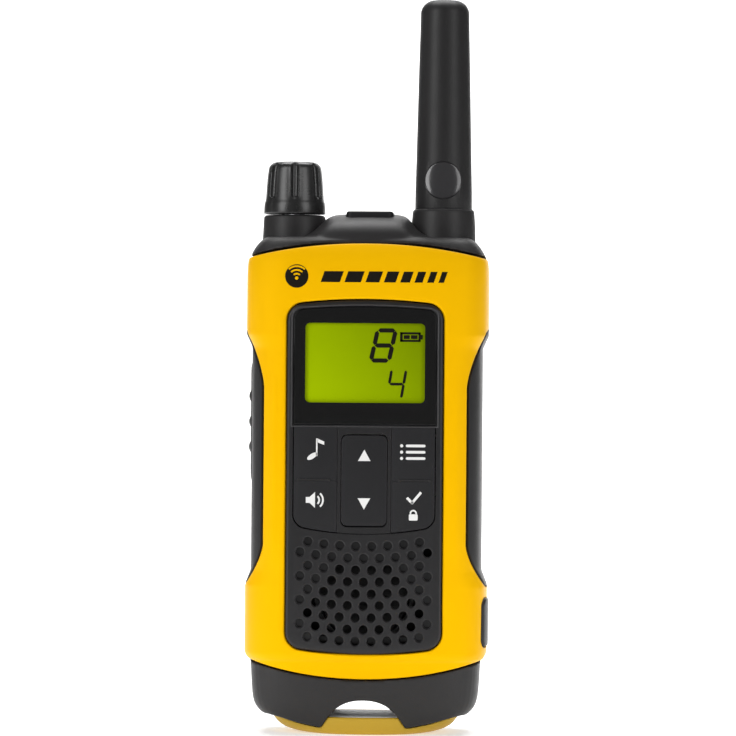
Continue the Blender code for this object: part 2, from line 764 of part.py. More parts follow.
def make_speaker(steel, paper, dark, foam):
    middle = (0, SPEAKER_Z)
    gasket = node("speaker_gasket", rod(*middle, SPEAKER_R, -11.6, -11.2, 24), foam)
    carve(gasket, rod(*middle, 11.1, -14, -10, 24))
    bowl = [(12.7, -10.9), (12.7, -9.8), (8.4, -6.6), (8.4, -5.5)]
    frame = node("speaker_frame", turned(bowl, 24, middle, "Y"), steel, smooth=True)
    carve(frame, turned([(11.7, -12.0), (11.7, -10.1), (7.4, -6.9), (7.4, -6.1)], 24, middle, "Y"))
    cone = [(10.7, -11.1), (10.7, -10.6), (3.3, -8.3), (3.3, -6.7)]
    hollow = [(10.1, -12.0), (10.1, -11.2), (2.6, -8.9), (2.6, -8.6)]
    diaphragm = node("speaker_cone", turned(cone, 24, middle, "Y"), paper, (0, -11, SPEAKER_Z), True)
    carve(diaphragm, turned(hollow, 24, middle, "Y"))
    magnet = turned([(6.5, -5.2), (6.5, -3.0)], 20, middle, "Y")
    node("speaker_magnet", magnet, dark, smooth=True)
    node("microphone", rod(*hole_place(MIC_ROW, MIC_COLUMN), 2.1, -13.6, -11.4), steel)


# Battery bay


def make_battery(cell_wrap, steel, dark):
    tray = node("battery_tray", box((-TRAY_HALF, TRAY_HALF), (-2.6, -1.5), (TRAY_LOW, TRAY_HIGH)), dark)
    merge(tray, box((-TRAY_HALF, TRAY_HALF), (-2.2, TRAY_END), (TRAY_LOW, TRAY_LOW + 0.8)))
    merge(tray, box((-TRAY_HALF, TRAY_HALF), (-2.2, TRAY_END), (TRAY_HIGH - 1.2, TRAY_HIGH)))
    bottom = TRAY_LOW + 0.8 + GAP
    top = TRAY_HIGH - 1.2 - GAP
    for number in (1, 2, 3):
        x = (number - 2) * CELL_PITCH
        flipped = number == 2
        can = [(CELL_R, 0.0), (CELL_R, 49.2), (2.6, 49.4), (2.6, CELL_LENGTH - GAP)]
        if flipped:
            levels = [(r, bottom + 0.4 + GAP + CELL_LENGTH - GAP - z) for r, z in can]
        else:
            levels = [(r, top - 0.4 - GAP - (CELL_LENGTH - GAP) + z) for r, z in can]
        node(f"cell_{number}", turned(levels, 20, (x, CELL_Y)), cell_wrap, smooth=True)
        plate_z = (bottom, bottom + 0.4) if flipped else (top - 0.4, top)
        plate = box((x - 4.5, x + 4.5), (CELL_Y - 4.0, CELL_Y + 3.1), plate_z)
        node(f"contact_plate_{number}", plate, steel)
        first = (levels[0][1] + GAP + 0.45) if flipped else bottom + 0.45
        last = (top - 0.45) if flipped else (levels[0][1] - GAP - 0.45)
        wire = coil((x, CELL_Y), 3.0, 0.4, first, last, 2)
        node(f"contact_spring_{number}", wire, steel, smooth=True)


def make_door(black):
    door = node("battery_door", body(0.0, 5.0, 75.0), black, (0, DEPTH - 0.4, HINGE_Z), smooth=True)
    carve(door, body(DOOR_THICK, 4.0, 76.0))
    outline = rounded((-DOOR_HALF, DOOR_HALF), (DOOR_LOW, DOOR_HIGH), 2.8)
    keep(door, prism(outline, 9.3, 30.0))
    slot_low = LATCH_LOW - GAP
    slot_high = LATCH_HIGH + LATCH_TRAVEL + GAP
    slot = rounded((-LATCH_HALF - GAP, LATCH_HALF + GAP), (slot_low, slot_high), 0.8)
    carve(door, prism(slot, 5.0, 30.0))
    tab = rounded((-LATCH_HALF, LATCH_HALF), (LATCH_LOW, LATCH_HIGH), 0.8)
    latch = node("door_latch", prism(tab, 13.9, 15.9), black, (0, 15.0, LATCH_LOW))
    for z in (14.2, 15.3, 16.4):
        merge(latch, box((-4.2, 4.2), (15.6, 16.3), (z - 0.25, z + 0.25)))


# Belt clip


def clip_outline():
    """Side view of the clip: thumb tab, straight leg, and a foot that turns in."""
    return (
        (CLIP_INNER + 0.6, CLIP_TOP),
        (CLIP_INNER, CLIP_TOP - 2.0),
        (CLIP_INNER, CLIP_FOOT + 4.6),
        (CLIP_INNER - 1.9, CLIP_FOOT + 3.0),
        (CLIP_INNER - 2.4, CLIP_FOOT + 1.2),
        (CLIP_INNER - 1.8, CLIP_FOOT),
        (CLIP_OUTER - 1.6, CLIP_FOOT + 0.2),
        (CLIP_OUTER, CLIP_FOOT + 2.8),
        (CLIP_OUTER, CLIP_TOP - 1.6),
        (CLIP_OUTER - 0.8, CLIP_TOP),
    )


def make_clip(black, steel):
    pin = (CLIP_PIN_Y, CLIP_PIN_Z)
    origin = (0, *pin)
    clip = node("belt_clip", prism(clip_outline(), -CLIP_HALF, CLIP_HALF, "X"), black, origin)
    merge(clip, turned([(2.2, -CLIP_HALF), (2.2, CLIP_HALF)], 16, pin, "X"))
    carve(clip, turned([(1.3, -20), (1.3, 20)], 12, pin, "X"))
    carve(clip, box((-2.7, 2.7), (10, 30), (CLIP_PIN_Z - 2.8, CLIP_PIN_Z + 2.8)))
    bracket = node("clip_bracket", prism(rounded((-9.9, 9.9), (97.5, 111.0), 1.5), 16.5, 17.9), black)
    for side in (-1, 1):
        ear = [(17.5, 101.5), (21.4, 102.6), (22.6, 104.0), (22.6, 106.0), (21.4, 107.4), (17.5, 108.5)]
        low, high = sorted((side * (CLIP_HALF + 0.4), side * 9.9))
        merge(bracket, prism(ear, low, high, "X"))
    carve(bracket, turned([(1.3, -20), (1.3, 20)], 12, pin, "X"))
    node("clip_pin", turned([(1.0, -9.9), (1.0, 9.9)], 12, pin, "X"), steel, smooth=True)
    node("clip_spring", coil(pin, 1.75, 0.32, -1.9, 1.9, 4, "X", sides=4), steel, smooth=True)


def main():
    for old in list(bpy.data.objects):
        bpy.data.objects.remove(old)

    yellow = finish("shell_yellow", (0.94, 0.50, 0.004), 0.42)
    black = finish("housing_black", (0.05, 0.046, 0.05), 0.5)
    gloss = finish("plate_black", (0.033, 0.033, 0.036), 0.3)
    rubber = finish("grip_rubber", (0.04, 0.038, 0.04), 0.75)
    key_rubber = finish("key_rubber", (0.028, 0.028, 0.03), 0.6)
    glass = finish("window_glass", (0.014, 0.014, 0.014), 0.08)
    lcd = finish("lcd_green", (0.23, 0.32, 0.002), 0.25)
    white = finish("backlight_white", (0.8, 0.8, 0.78), 0.5)
    steel = finish("steel", (0.6, 0.6, 0.62), 0.3, 1.0)
    brass = finish("brass", (0.7, 0.5, 0.22), 0.3, 1.0)
    green = finish("board_green", (0.02, 0.16, 0.07), 0.5)
    dark = finish("component_black", (0.03, 0.03, 0.03), 0.5)
    paper = finish("cone_black", (0.05, 0.05, 0.05), 0.9)
    foam = finish("foam_grey", (0.2, 0.2, 0.2), 0.95)
    cell_wrap = finish("cell_wrap", (0.25, 0.26, 0.28), 0.35, 0.6)

    make_shell(yellow)
    make_grips(rubber)
    make_front_housing(black)
    make_rear_housing(black)
    make_base_rim(yellow)
    make_seal(rubber)
    make_screws(steel)
    make_faceplate(gloss)
    make_display(glass, lcd, white)
    make_keys(key_rubber)
    make_dome_sheet(white)
    make_knob(black, steel, dark)
    make_alert_button(key_rubber, dark)
    make_antenna(rubber, brass, steel)
    make_ptt(rubber, dark)
    make_side_key(rubber, dark)
    make_port_cover(rubber, dark, steel)
    make_board(green, steel)
    make_speaker(steel, paper, dark, foam)
    make_battery(cell_wrap, steel, dark)
    make_door(black)
    make_clip(black, steel)


main()
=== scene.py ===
"""The looks of a handheld two way radio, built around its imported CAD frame.

Shapes are worked out in millimetres and turned to metres when a mesh is made.
+Z is up along the antenna, -Y is the front with the keys, +X is to the right of someone facing it.
"""

import math

import bmesh
import bpy
import numpy as np
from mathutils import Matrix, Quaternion, Vector


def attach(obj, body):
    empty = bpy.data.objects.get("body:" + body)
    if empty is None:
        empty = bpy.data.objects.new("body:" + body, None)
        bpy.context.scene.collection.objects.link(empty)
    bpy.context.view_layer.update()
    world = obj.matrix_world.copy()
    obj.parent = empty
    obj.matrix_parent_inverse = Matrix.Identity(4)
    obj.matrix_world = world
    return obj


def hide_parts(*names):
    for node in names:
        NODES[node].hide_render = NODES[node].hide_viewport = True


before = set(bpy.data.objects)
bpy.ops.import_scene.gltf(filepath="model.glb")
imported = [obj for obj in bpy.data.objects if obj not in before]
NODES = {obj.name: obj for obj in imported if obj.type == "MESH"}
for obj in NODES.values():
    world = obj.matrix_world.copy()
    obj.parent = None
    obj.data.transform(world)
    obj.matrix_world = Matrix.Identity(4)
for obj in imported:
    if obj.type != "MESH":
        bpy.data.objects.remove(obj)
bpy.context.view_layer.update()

MM = 0.001
ROOT = "radio_body"

# The body's shape, as the CAD has it
GAP = 0.3
SPLIT = 4.0
DEPTH = 16.2
BODY_TOP = 119.4
REAR_TOP = 112.0
SKIN = 2.0
CORE = SKIN + GAP
CAVITY = CORE + 1.6
REAR_WALL = 2.2
FLOOR = 10.4
FRONT_POWER = 4.2
BACK_POWER = 3.9
STATIONS = np.array((
    (1.0, 19.5, 11.9, 11.9),
    (4.2, 24.1, 13.0, 13.0),
    (5.4, 25.6, 13.3, 13.3),
    (7.0, 26.7, 13.6, 13.7),
    (9.1, 27.2, 13.9, 14.7),
    (13.0, 27.5, 14.3, 15.6),
    (17.4, 27.8, 14.8, 15.9),
    (18.2, 28.6, 15.3, 16.0),
    (19.7, 29.2, 15.8, DEPTH),
    (35.2, 29.2, DEPTH, DEPTH),
    (37.4, 28.5, DEPTH, DEPTH),
    (39.6, 27.8, DEPTH, DEPTH),
    (92.4, 27.8, DEPTH, DEPTH),
    (94.3, 28.5, DEPTH, DEPTH),
    (96.2, 29.2, DEPTH, DEPTH),
    (109.0, 29.2, 16.0, 15.9),
    (113.4, 29.0, 15.4, 15.3),
    (115.4, 28.1, 14.8, 14.6),
    (116.8, 27.3, 14.1, 13.9),
    (118.3, 26.1, 13.2, 13.0),
    (BODY_TOP, 24.6, 11.8, 11.6),
))

# Outline of the yellow shell in front view
SHELL_TOP = 117.9
SHELL_TOP_DROP = 3.2
SHELL_LOW = 13.4
SHELL_LOW_RISE = 4.2
SHELL_EDGE = 27.4
SHELL_WAIST = 24.5
WAIST_LOW = 45.6
WAIST_HIGH = 83.2
WAIST_LOW_FLARE = 0.138
WAIST_HIGH_FLARE = 0.0864
CREASE_X = 22.0
CREASE_REACH = 2.6
CREASE_RISE = 0.42

# Front plate, display and keys
PLATE_HALF = 18.65
PLATE_LOW = 19.5
PLATE_HIGH = 104.1
PLATE_FRONT = -15.8
PLATE_BACK = -14.2
PANEL_HALF = 17.1
WINDOW_LOW = 74.6
WINDOW_HIGH = 102.6
KEYS_LOW = 48.1
KEYS_HIGH = 74.0
KEYS_MIDDLE = 60.9
KEY_INNER = 6.7
KEY_FRONT = -15.9
KEY_BACK = -13.4
KEY_POST_END = -11.1
ROCKER_HALF = 5.3
ROCKER_LOW = 50.2
ROCKER_HIGH = 71.8
KEY_X = 11.9

# Grille
HOLE_R = 1.05
HOLE_RIM = 1.33
HOLE_PITCH = 3.81
ROW_PITCH = 2.84
ROW_TOP = 45.3
ROW_BOW = 1.1
ROW_BOW_X = 13.3
OPEN_HOLES = {1: (9, 9), 2: (3, 6), 3: (3, 7), 4: (2, 7), 5: (2, 8), 6: (1, 8), 7: (2, 8), 8: (2, 7)}

# Top
KNOB_X = -18.1
KNOB_LOW = 125.0
KNOB_TOP = 137.7
KNOB_FLUTES = 7
ANTENNA_X = 18.0
ANTENNA_LOW = 126.7
DISC_Z = 133.2
HEIGHT = 177.0
BUTTON_LOW_X = -5.3
BUTTON_HIGH_X = 6.05
BUTTON_LOW = 121.2
BUTTON_TOP = 125.7

# Badge on the shell
BADGE_X = -16.5
BADGE_Z = 109.65
BAR_START = -10.3
BAR_HALF = 1.3
BAR_LEAN = 0.45
BAR_GAP = 1.1
BAR_WIDTHS = (4.6, 3.9, 3.3, 2.8, 2.3, 1.9, 1.6, 1.3)

# Sides and back
PTT_LOW = 60.4
PTT_HIGH = 89.2
PTT_FRONT = -6.2
PTT_BACK = 2.4
SIDE_KEY_Y = -1.5
SIDE_KEY_Z = 104.9
COVER_LOW = 21.2
COVER_HIGH = 32.8
COVER_FRONT = -10.0
COVER_BACK = -1.4
DOOR_HALF = 23.2
DOOR_LOW = 11.4
DOOR_HIGH = 68.6
DOOR_THICK = 1.8
LATCH_HALF = 5.6
LATCH_LOW = 12.9
LATCH_HIGH = 17.7
LATCH_TRAVEL = 1.5
CLIP_HALF = 7.5
CLIP_PIN = (20.4, 105.0)
CLIP_INNER = 20.9
CLIP_OUTER = 23.1
CLIP_FOOT = 73.0
CLIP_TOP = 114.5
SCREWS = ((-20.0, 106.0), (20.0, 106.0), (-20.0, 75.0), (20.0, 75.0))


# Meshes


def new_mesh(name, points, faces):
    mesh = bpy.data.meshes.new(name)
    mesh.from_pydata([[c * MM for c in p] for p in points], [], [list(f) for f in faces])
    face_out(mesh)
    return mesh


def face_out(mesh):
    shaper = bmesh.new()
    shaper.from_mesh(mesh)
    bmesh.ops.recalc_face_normals(shaper, faces=shaper.faces)
    shaper.to_mesh(mesh)
    shaper.free()


def new_object(name, shape):
    """A linked object from (points, faces) in millimetres."""
    item = bpy.data.objects.new(name, new_mesh(name, *shape))
    bpy.context.scene.collection.objects.link(item)
    return item


def drop(item):
    mesh = item.data
    bpy.data.objects.remove(item)
    bpy.data.meshes.remove(mesh)


def settle(item):
    """Turns an object's modifiers into its mesh."""
    bpy.context.view_layer.update()
    made = item.evaluated_get(bpy.context.evaluated_depsgraph_get())
    mesh = bpy.data.meshes.new_from_object(made)
    old = item.data
    item.modifiers.clear()
    item.data = mesh
    bpy.data.meshes.remove(old)


def combine(item, operation, *shapes, folded=False):
    for shape in shapes:
        tool = new_object("tool", shape)
        modifier = item.modifiers.new("boolean", "BOOLEAN")
        modifier.operation = operation
        modifier.object = tool
        modifier.solver = "EXACT"
        modifier.use_self = folded
        settle(item)
        drop(tool)


def carve(item, *shapes):
    combine(item, "DIFFERENCE", *shapes)


def merge(item, *shapes):
    combine(item, "UNION", *shapes)


def keep(item, *shapes):
    combine(item, "INTERSECT", *shapes)


def melt(item, voxel, rounds, factor=0.5):
    """Rebuilds an object as one skin with softly rounded edges."""
    remesh = item.modifiers.new("remesh", "REMESH")
    remesh.mode = "VOXEL"
    remesh.voxel_size = voxel * MM
    smooth = item.modifiers.new("smooth", "SMOOTH")
    smooth.factor = factor
    smooth.iterations = rounds
    settle(item)


def join(*shapes):
    """Several (points, faces) as one, without cutting them into each other."""
    points, faces = [], []
    for more_points, more_faces in shapes:
        start = len(points)
        points.extend(more_points)
        faces.extend([i + start for i in face] for face in more_faces)
    return points, faces


def show(item, material, body, node, angle=35):
    """Finishes a piece: its material, shading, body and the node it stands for."""
    item.data.materials.clear()
    item.data.materials.append(material)
    item.data.shade_smooth()
    item.data.set_sharp_from_angle(angle=math.radians(angle))
    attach(item, body)
    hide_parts(node)
    return item


# Outlines and solids


def loft(rings, caps=True, around=False):
    """Skin through rings with equal numbers of points; around joins the last ring to the first."""
    count = len(rings[0])
    points = [tuple(p) for ring in rings for p in ring]
    faces = []
    total = len(rings)
    for level in range(total if around else total - 1):
        start = level * count
        after = (level + 1) % total * count
        for i in range(count):
            j = (i + 1) % count
            faces.append((start + i, start + j, after + j, after + i))
    if caps and not around:
        faces.append(tuple(range(count)))
        faces.append(tuple(range((total - 1) * count, total * count)))
    return points, faces


def place(axis, outline, level):
    if axis == "X":
        return [(level, a, b) for a, b in outline]
    if axis == "Y":
        return [(a, level, b) for a, b in outline]
    return [(a, b, level) for a, b in outline]


def prism(outline, low, high, axis="Y"):
    return loft([place(axis, outline, level) for level in (low, high)])


def box(x, y, z):
    outline = ((x[0], y[0]), (x[1], y[0]), (x[1], y[1]), (x[0], y[1]))
    return prism(outline, z[0], z[1], "Z")


def circle(a, b, radius, count=48):
    turns = [2 * math.pi * i / count for i in range(count)]
    return [(a + radius * math.cos(t), b + radius * math.sin(t)) for t in turns]


def rounded(a, b, radius, steps=8):
    """Rectangle with round corners, counter-clockwise from the right-hand side's top."""
    centres = (
        (a[1] - radius, b[1] - radius, 0),
        (a[0] + radius, b[1] - radius, 1),
        (a[0] + radius, b[0] + radius, 2),
        (a[1] - radius, b[0] + radius, 3),
    )
    outline = []
    for centre_a, centre_b, quarter in centres:
        for step in range(steps + 1):
            turn = math.pi / 2 * (quarter + step / steps)
            outline.append((centre_a + radius * math.cos(turn), centre_b + radius * math.sin(turn)))
    return outline


def bowed(half, low, high, rise, drop_, radius, steps=8, along=24):
    """Rounded rectangle whose ends bow: the bottom rises and the top drops towards the sides."""
    corner = rounded((-half, half), (low, high), radius, steps)
    inner = [(half - radius) * (2 * i / along - 1) for i in range(1, along)]
    quarter = steps + 1
    top = corner[:quarter] + [(x, high) for x in reversed(inner)] + corner[quarter : 2 * quarter]
    foot = corner[2 * quarter : 3 * quarter] + [(x, low) for x in inner] + corner[3 * quarter :]
    outline = [(x, z - drop_ * (x / half) ** 2) for x, z in top]
    return outline + [(x, z + rise * (x / half) ** 2) for x, z in foot]


def clip(outline, axis, limit, side):
    """The part of a convex outline where side * (coordinate - limit) is not negative."""
    kept = []
    for here, after in zip(outline, outline[1:] + outline[:1]):
        a = side * (here[axis] - limit)
        b = side * (after[axis] - limit)
        if a >= 0:
            kept.append(here)
        if a * b < 0:
            share = a / (a - b)
            kept.append(tuple(p + share * (q - p) for p, q in zip(here, after)))
    return kept


def spaced(outline, least=0.04):
    """An outline without points that nearly repeat the one before."""
    kept = []
    for point in outline:
        if not kept or math.dist(kept[-1], point) > least:
            kept.append(point)
    if math.dist(kept[0], kept[-1]) < least:
        kept.pop()
    return kept


def inward(outline, distance):
    """An outline moved in by a distance, with mitred corners."""
    flat = np.array(outline, float)
    edge = np.roll(flat, -1, 0) - flat
    area = np.sum(flat[:, 0] * np.roll(flat[:, 1], -1) - np.roll(flat[:, 0], -1) * flat[:, 1])
    normal = np.stack((-edge[:, 1], edge[:, 0]), 1) * math.copysign(1, area)
    normal /= np.linalg.norm(normal, axis=1, keepdims=True)
    before = np.roll(normal, 1, 0)
    mitre = (normal + before) / (1 + np.sum(normal * before, 1, keepdims=True)).clip(0.3)
    return (flat + mitre * distance).tolist()


def slab(outline, low, high, axis="Y", round_low=0.0, round_high=0.0, steps=4):
    """A prism whose rims are rounded by a radius at either end."""
    rings = []
    for radius, level, sense in ((round_low, low, 1), (round_high, high, -1)):
        some = []
        if radius:
            for i in range(steps + 1):
                turn = math.pi / 2 * i / steps
                out = radius * (1 - math.sin(turn))
                along = level + sense * radius * (1 - math.cos(turn))
                some.append(place(axis, inward(outline, out), along))
        else:
            some.append(place(axis, outline, level))
        rings.extend(some if sense > 0 else reversed(some))
    return loft(rings)


def flared(outline, deep, front, grow, bevel):
    """A cutter along Y whose mouth widens to leave a bevelled edge at the front."""
    levels = ((deep, 0.0), (front + bevel, 0.0), (front, -grow), (front - 3, -grow - 3 * grow / bevel))
    return loft([place("Y", inward(outline, out), level) for level, out in levels])


def turned(profile, centre, axis="Z", count=64):
    """A profile of (radius, level) turned about an axis, with flat ends."""
    return loft([place(axis, circle(*centre, radius, count), level) for radius, level in profile])


def tube(profile, centre, axis="Z", count=64):
    """A closed profile of (radius, level) turned about an axis, open in the middle."""
    rings = [place(axis, circle(*centre, radius, count), level) for radius, level in profile]
    return loft(rings, around=True)


def monotone(xs, ys, at):
    """Smooth curve through points that never leaves the range of its neighbours."""
    at = np.asarray(at, float)
    step = np.diff(xs)
    slope = np.diff(ys) / step
    tangent = np.zeros(len(xs))
    for i in range(1, len(xs) - 1):
        if slope[i - 1] * slope[i] > 0:
            a = 2 * step[i] + step[i - 1]
            b = step[i] + 2 * step[i - 1]
            tangent[i] = (a + b) / (a / slope[i - 1] + b / slope[i])
    tangent[0] = slope[0]
    tangent[-1] = slope[-1]
    k = np.clip(np.searchsorted(xs, at) - 1, 0, len(step) - 1)
    t = np.clip((at - xs[k]) / step[k], 0, 1)
    rise = (ys[k + 1] - ys[k]) * t * t * (3 - 2 * t)
    bend = step[k] * t * (1 - t) * (tangent[k] * (1 - t) - tangent[k + 1] * t)
    return ys[k] + rise + bend


def fade(low, high, at):
    t = np.clip((at - low) / (high - low), 0, 1)
    return t * t * (3 - 2 * t)


# The body's surface, by the angle round it (0 at the front, 90 degrees at +X) and the height


def bulge(share, power):
    """Depth of a superellipse, as a share of its full depth, at a share of its half width."""
    return (1 - share**power) ** (1 / power)


def body_at(z):
    """Half width, front depth and back depth at a height."""
    return [monotone(STATIONS[:, 0], STATIONS[:, column], z) for column in (1, 2, 3)]


def skin(angle, z, inset=0.0, creased=False):
    """Points on the body's surface drawn in by inset."""
    angle, z = np.broadcast_arrays(np.asarray(angle, float), np.asarray(z, float))
    half, front, back = body_at(z)
    at_front = np.cos(angle) > 0
    power = np.where(at_front, FRONT_POWER, BACK_POWER)
    deep = np.where(at_front, front, back) - inset
    across = np.abs(np.sin(angle)) / (half - inset)
    along = np.abs(np.cos(angle)) / deep
    reach = (across**power + along**power) ** (-1 / power)
    x = reach * np.sin(angle)
    y = -reach * np.cos(angle)
    if creased:
        tent = np.clip(1 - np.abs(np.abs(x) - CREASE_X) / CREASE_REACH, 0, 1)
        soft = np.where(tent > 0.85, 0.85 + (tent - 0.85) * 0.5, tent)
        y = y - CREASE_RISE * soft * fade(39, 48, z) * fade(90, 81, z) * at_front
    return np.stack((x, y, z), -1)


def outwards(angle, z, creased=False):
    """Unit normals of the surface."""
    step = 0.002
    along = skin(angle + step, z, 0, creased) - skin(angle - step, z, 0, creased)
    up = skin(angle, z + 0.05, 0, creased) - skin(angle, z - 0.05, 0, creased)
    normal = np.cross(along, up)
    return normal / np.linalg.norm(normal, axis=-1, keepdims=True)


def angle_at_x(x, z):
    """Angle of the front surface at a sideways distance x, which stays under the half width."""
    half, front, _ = body_at(z)
    share = np.clip(np.abs(x) / half, 0, 1)
    y = front * bulge(share, FRONT_POWER)
    return np.arctan2(share * half, y)


def angle_at_split(z):
    """Angle where the surface meets the plane between the front pieces and the rear housing."""
    half, _, back = body_at(z)
    x = half * bulge(SPLIT / back, BACK_POWER)
    return math.pi - np.arctan2(x, SPLIT)


def heights(low, high):
    """Levels for a loft of the body: close where it curves."""
    close = np.concatenate((np.arange(1, 20.2, 0.45), np.arange(34.5, 40.5, 0.4)))
    wide = np.concatenate((np.arange(42, 91, 4.0), np.arange(22, 34, 3.0)))
    upper = np.concatenate((np.arange(91.6, 97, 0.4), np.arange(98, 108, 2.0), np.arange(108.4, 119.4, 0.4)))
    levels = np.concatenate((close, wide, upper))
    levels = levels[(levels > low + 0.1) & (levels < high - 0.1)]
    return np.sort(np.concatenate(([low, high], levels)))


def body(inset, low, high, count=128):
    angles = 2 * math.pi * (np.arange(count) + 0.5) / count
    return loft([skin(angles, z, inset) for z in heights(low, high)])


def shell_top(x):
    return SHELL_TOP - SHELL_TOP_DROP * (x / SHELL_EDGE) ** 2


def shell_low(x):
    return SHELL_LOW + SHELL_LOW_RISE * (x / SHELL_EDGE) ** 2


def waist_height(x, upper):
    """Height at which the flaring waist reaches a half width."""
    out = np.clip(x - SHELL_WAIST, 0, None)
    if upper:
        return WAIST_HIGH + (out / WAIST_HIGH_FLARE) ** (2 / 3)
    return WAIST_LOW - (out / WAIST_LOW_FLARE) ** (2 / 3)


def settle_height(angle, rule, start):
    """Height z at which z equals rule(x), on the surface at an angle."""
    z = np.full(np.shape(angle), float(start))
    for _ in range(12):
        z = 0.5 * z + 0.5 * rule(skin(angle, z)[..., 0])
    return z


def resample(places, count, end=False):
    """Evenly spaced places along a dense line of (angle, z)."""
    places = np.asarray(places, float)
    spots = skin(places[:, 0], places[:, 1])
    run = np.concatenate(([0], np.cumsum(np.linalg.norm(np.diff(spots, axis=0), axis=1))))
    at = np.linspace(0, run[-1], count + 1)
    at = at if end else at[:-1]
    return np.stack([np.interp(at, run, places[:, k]) for k in (0, 1)], 1)


# Yellow shell


def shell_outer(gap=0.0):
    """Right half of the shell's outer edge, in nine stretches from the top to the bottom."""
    dense = np.linspace(0, 1, 160)
    high_corner = settle_height(angle_at_split(115.3), lambda x: shell_top(x) - gap, 115.3)
    low_corner = settle_height(angle_at_split(17.8), lambda x: shell_low(x) + gap, 17.8)
    far_top = float(angle_at_split(high_corner))
    far_low = float(angle_at_split(low_corner))
    top = dense * far_top
    top_z = settle_height(top, lambda x: shell_top(x) - gap, 118)
    low = (1 - dense) * far_low
    low_z = settle_height(low, lambda x: shell_low(x) + gap, 14)
    tip_high = float(waist_height(body_at(98.0)[0], True))
    tip_low = float(waist_height(body_at(33.0)[0], False))
    near_high = float(angle_at_x(SHELL_WAIST, WAIST_HIGH))
    near_low = float(angle_at_x(SHELL_WAIST, WAIST_LOW))
    quarter = math.pi / 2
    flare_high = quarter + dense**1.5 * (near_high - quarter)
    flare_low = near_low + (1 - (1 - dense) ** 1.5) * (quarter - near_low)
    side = lambda lo, hi: lo + dense * (hi - lo)
    split = lambda z: np.stack((angle_at_split(z), z), 1)
    level = lambda a, b, z: np.stack((side(a, b), np.full(160, z)), 1)
    waist = np.stack((angle_at_x(SHELL_WAIST, side(WAIST_HIGH, WAIST_LOW)), side(WAIST_HIGH, WAIST_LOW)), 1)
    high_z = settle_height(flare_high, lambda x: waist_height(x, True), 90)
    bottom_z = settle_height(flare_low, lambda x: waist_height(x, False), 40)
    return (
        (np.stack((top, top_z), 1), 44),
        (split(side(float(high_corner), tip_high)), 18),
        (level(float(angle_at_split(tip_high)), quarter, tip_high), 5),
        (np.stack((flare_high, high_z), 1), 26),
        (waist, 26),
        (np.stack((flare_low, bottom_z), 1), 26),
        (level(quarter, float(angle_at_split(tip_low)), tip_low), 5),
        (split(side(tip_low, float(low_corner))), 18),
        (np.stack((low, low_z), 1), 44),
    )


def shell_inner():
    """Right half of the plate's opening, in stretches that pair with the outer edge's."""
    outline = bowed(PLATE_HALF + GAP, PLATE_LOW - GAP, PLATE_HIGH + GAP, 1.7, 1.35, 3.4 + GAP, 16, 64)
    right = [p for p in outline if p[0] > 0.01]
    right.sort(key=lambda p: math.atan2(p[0], p[1] - 62))
    line = [(0.0, PLATE_HIGH + GAP)] + right + [(0.0, PLATE_LOW - GAP)]
    flat = np.array(line)
    run = np.concatenate(([0], np.cumsum(np.linalg.norm(np.diff(flat, axis=0), axis=1))))
    side = np.where(flat[:, 0] > PLATE_HALF + GAP - 0.001)[0]
    along = lambda z: float(np.interp(-z, -flat[side, 1], run[side]))
    corner = 17.0
    ends = [0, corner, along(97.4), along(96.8), along(WAIST_HIGH), along(WAIST_LOW)]
    ends += [along(34.6), along(34.0), run[-1] - corner, run[-1]]
    counts = (44, 18, 5, 26, 26, 26, 5, 18, 44)
    stops = []
    for start, stop, count in zip(ends, ends[1:], counts):
        stops.extend(np.linspace(start, stop, count + 1)[:-1])
    stops.append(run[-1])
    x = np.interp(stops, run, flat[:, 0])
    z = np.interp(stops, run, flat[:, 1])
    return np.stack((angle_at_x(x, z), z), 1)


def rim_profile(radius, thick, inner_steps):
    """(distance in from the edge, depth) over a rounded rim, for both edges of a band."""
    rim = [(0.0, thick), (0.0, (thick + radius) / 2)]
    for i in range(6):
        turn = math.pi / 2 * i / 5
        rim.append((radius * (1 - math.cos(turn)), radius * (1 - math.sin(turn))))
    return rim, np.linspace(0, 1, inner_steps + 2)[1:-1]


def make_shell(yellow):
    outer = [resample(line, count) for line, count in shell_outer()]
    outer.append(np.array([[0.0, SHELL_LOW]]))
    outer = np.concatenate(outer)
    inner = shell_inner()
    mirror = lambda half: np.concatenate((half, (half * (-1, 1))[-2:0:-1]))
    outer, inner = mirror(outer), mirror(inner)
    span = np.linalg.norm(skin(outer[:, 0], outer[:, 1]) - skin(inner[:, 0], inner[:, 1]), axis=1)
    rim, between = rim_profile(0.55, SKIN, 18)
    loop = [(e, 0.0, d) for e, d in rim] + [(None, w, 0.0) for w in between]
    loop += [(-e, 1.0, d) for e, d in reversed(rim)]
    loop += [(None, w, SKIN) for w in (0.75, 0.5, 0.25)]
    rings = []
    for distance, share, depth in loop:
        if distance is None:
            edge = 0.55 / span
            w = edge + share * (1 - 2 * edge)
        else:
            w = share + distance / span
        spot = outer + (inner - outer) * w[:, None]
        surface = skin(spot[:, 0], spot[:, 1], 0, True)
        rings.append(surface - outwards(spot[:, 0], spot[:, 1], True) * depth)
    shell = new_object("shell_yellow_front", loft(rings, around=True))
    combine(shell, "DIFFERENCE", side_key_hole(GAP), cover_hole(GAP), folded=True)
    show(shell, yellow, ROOT, "front_shell", 40)


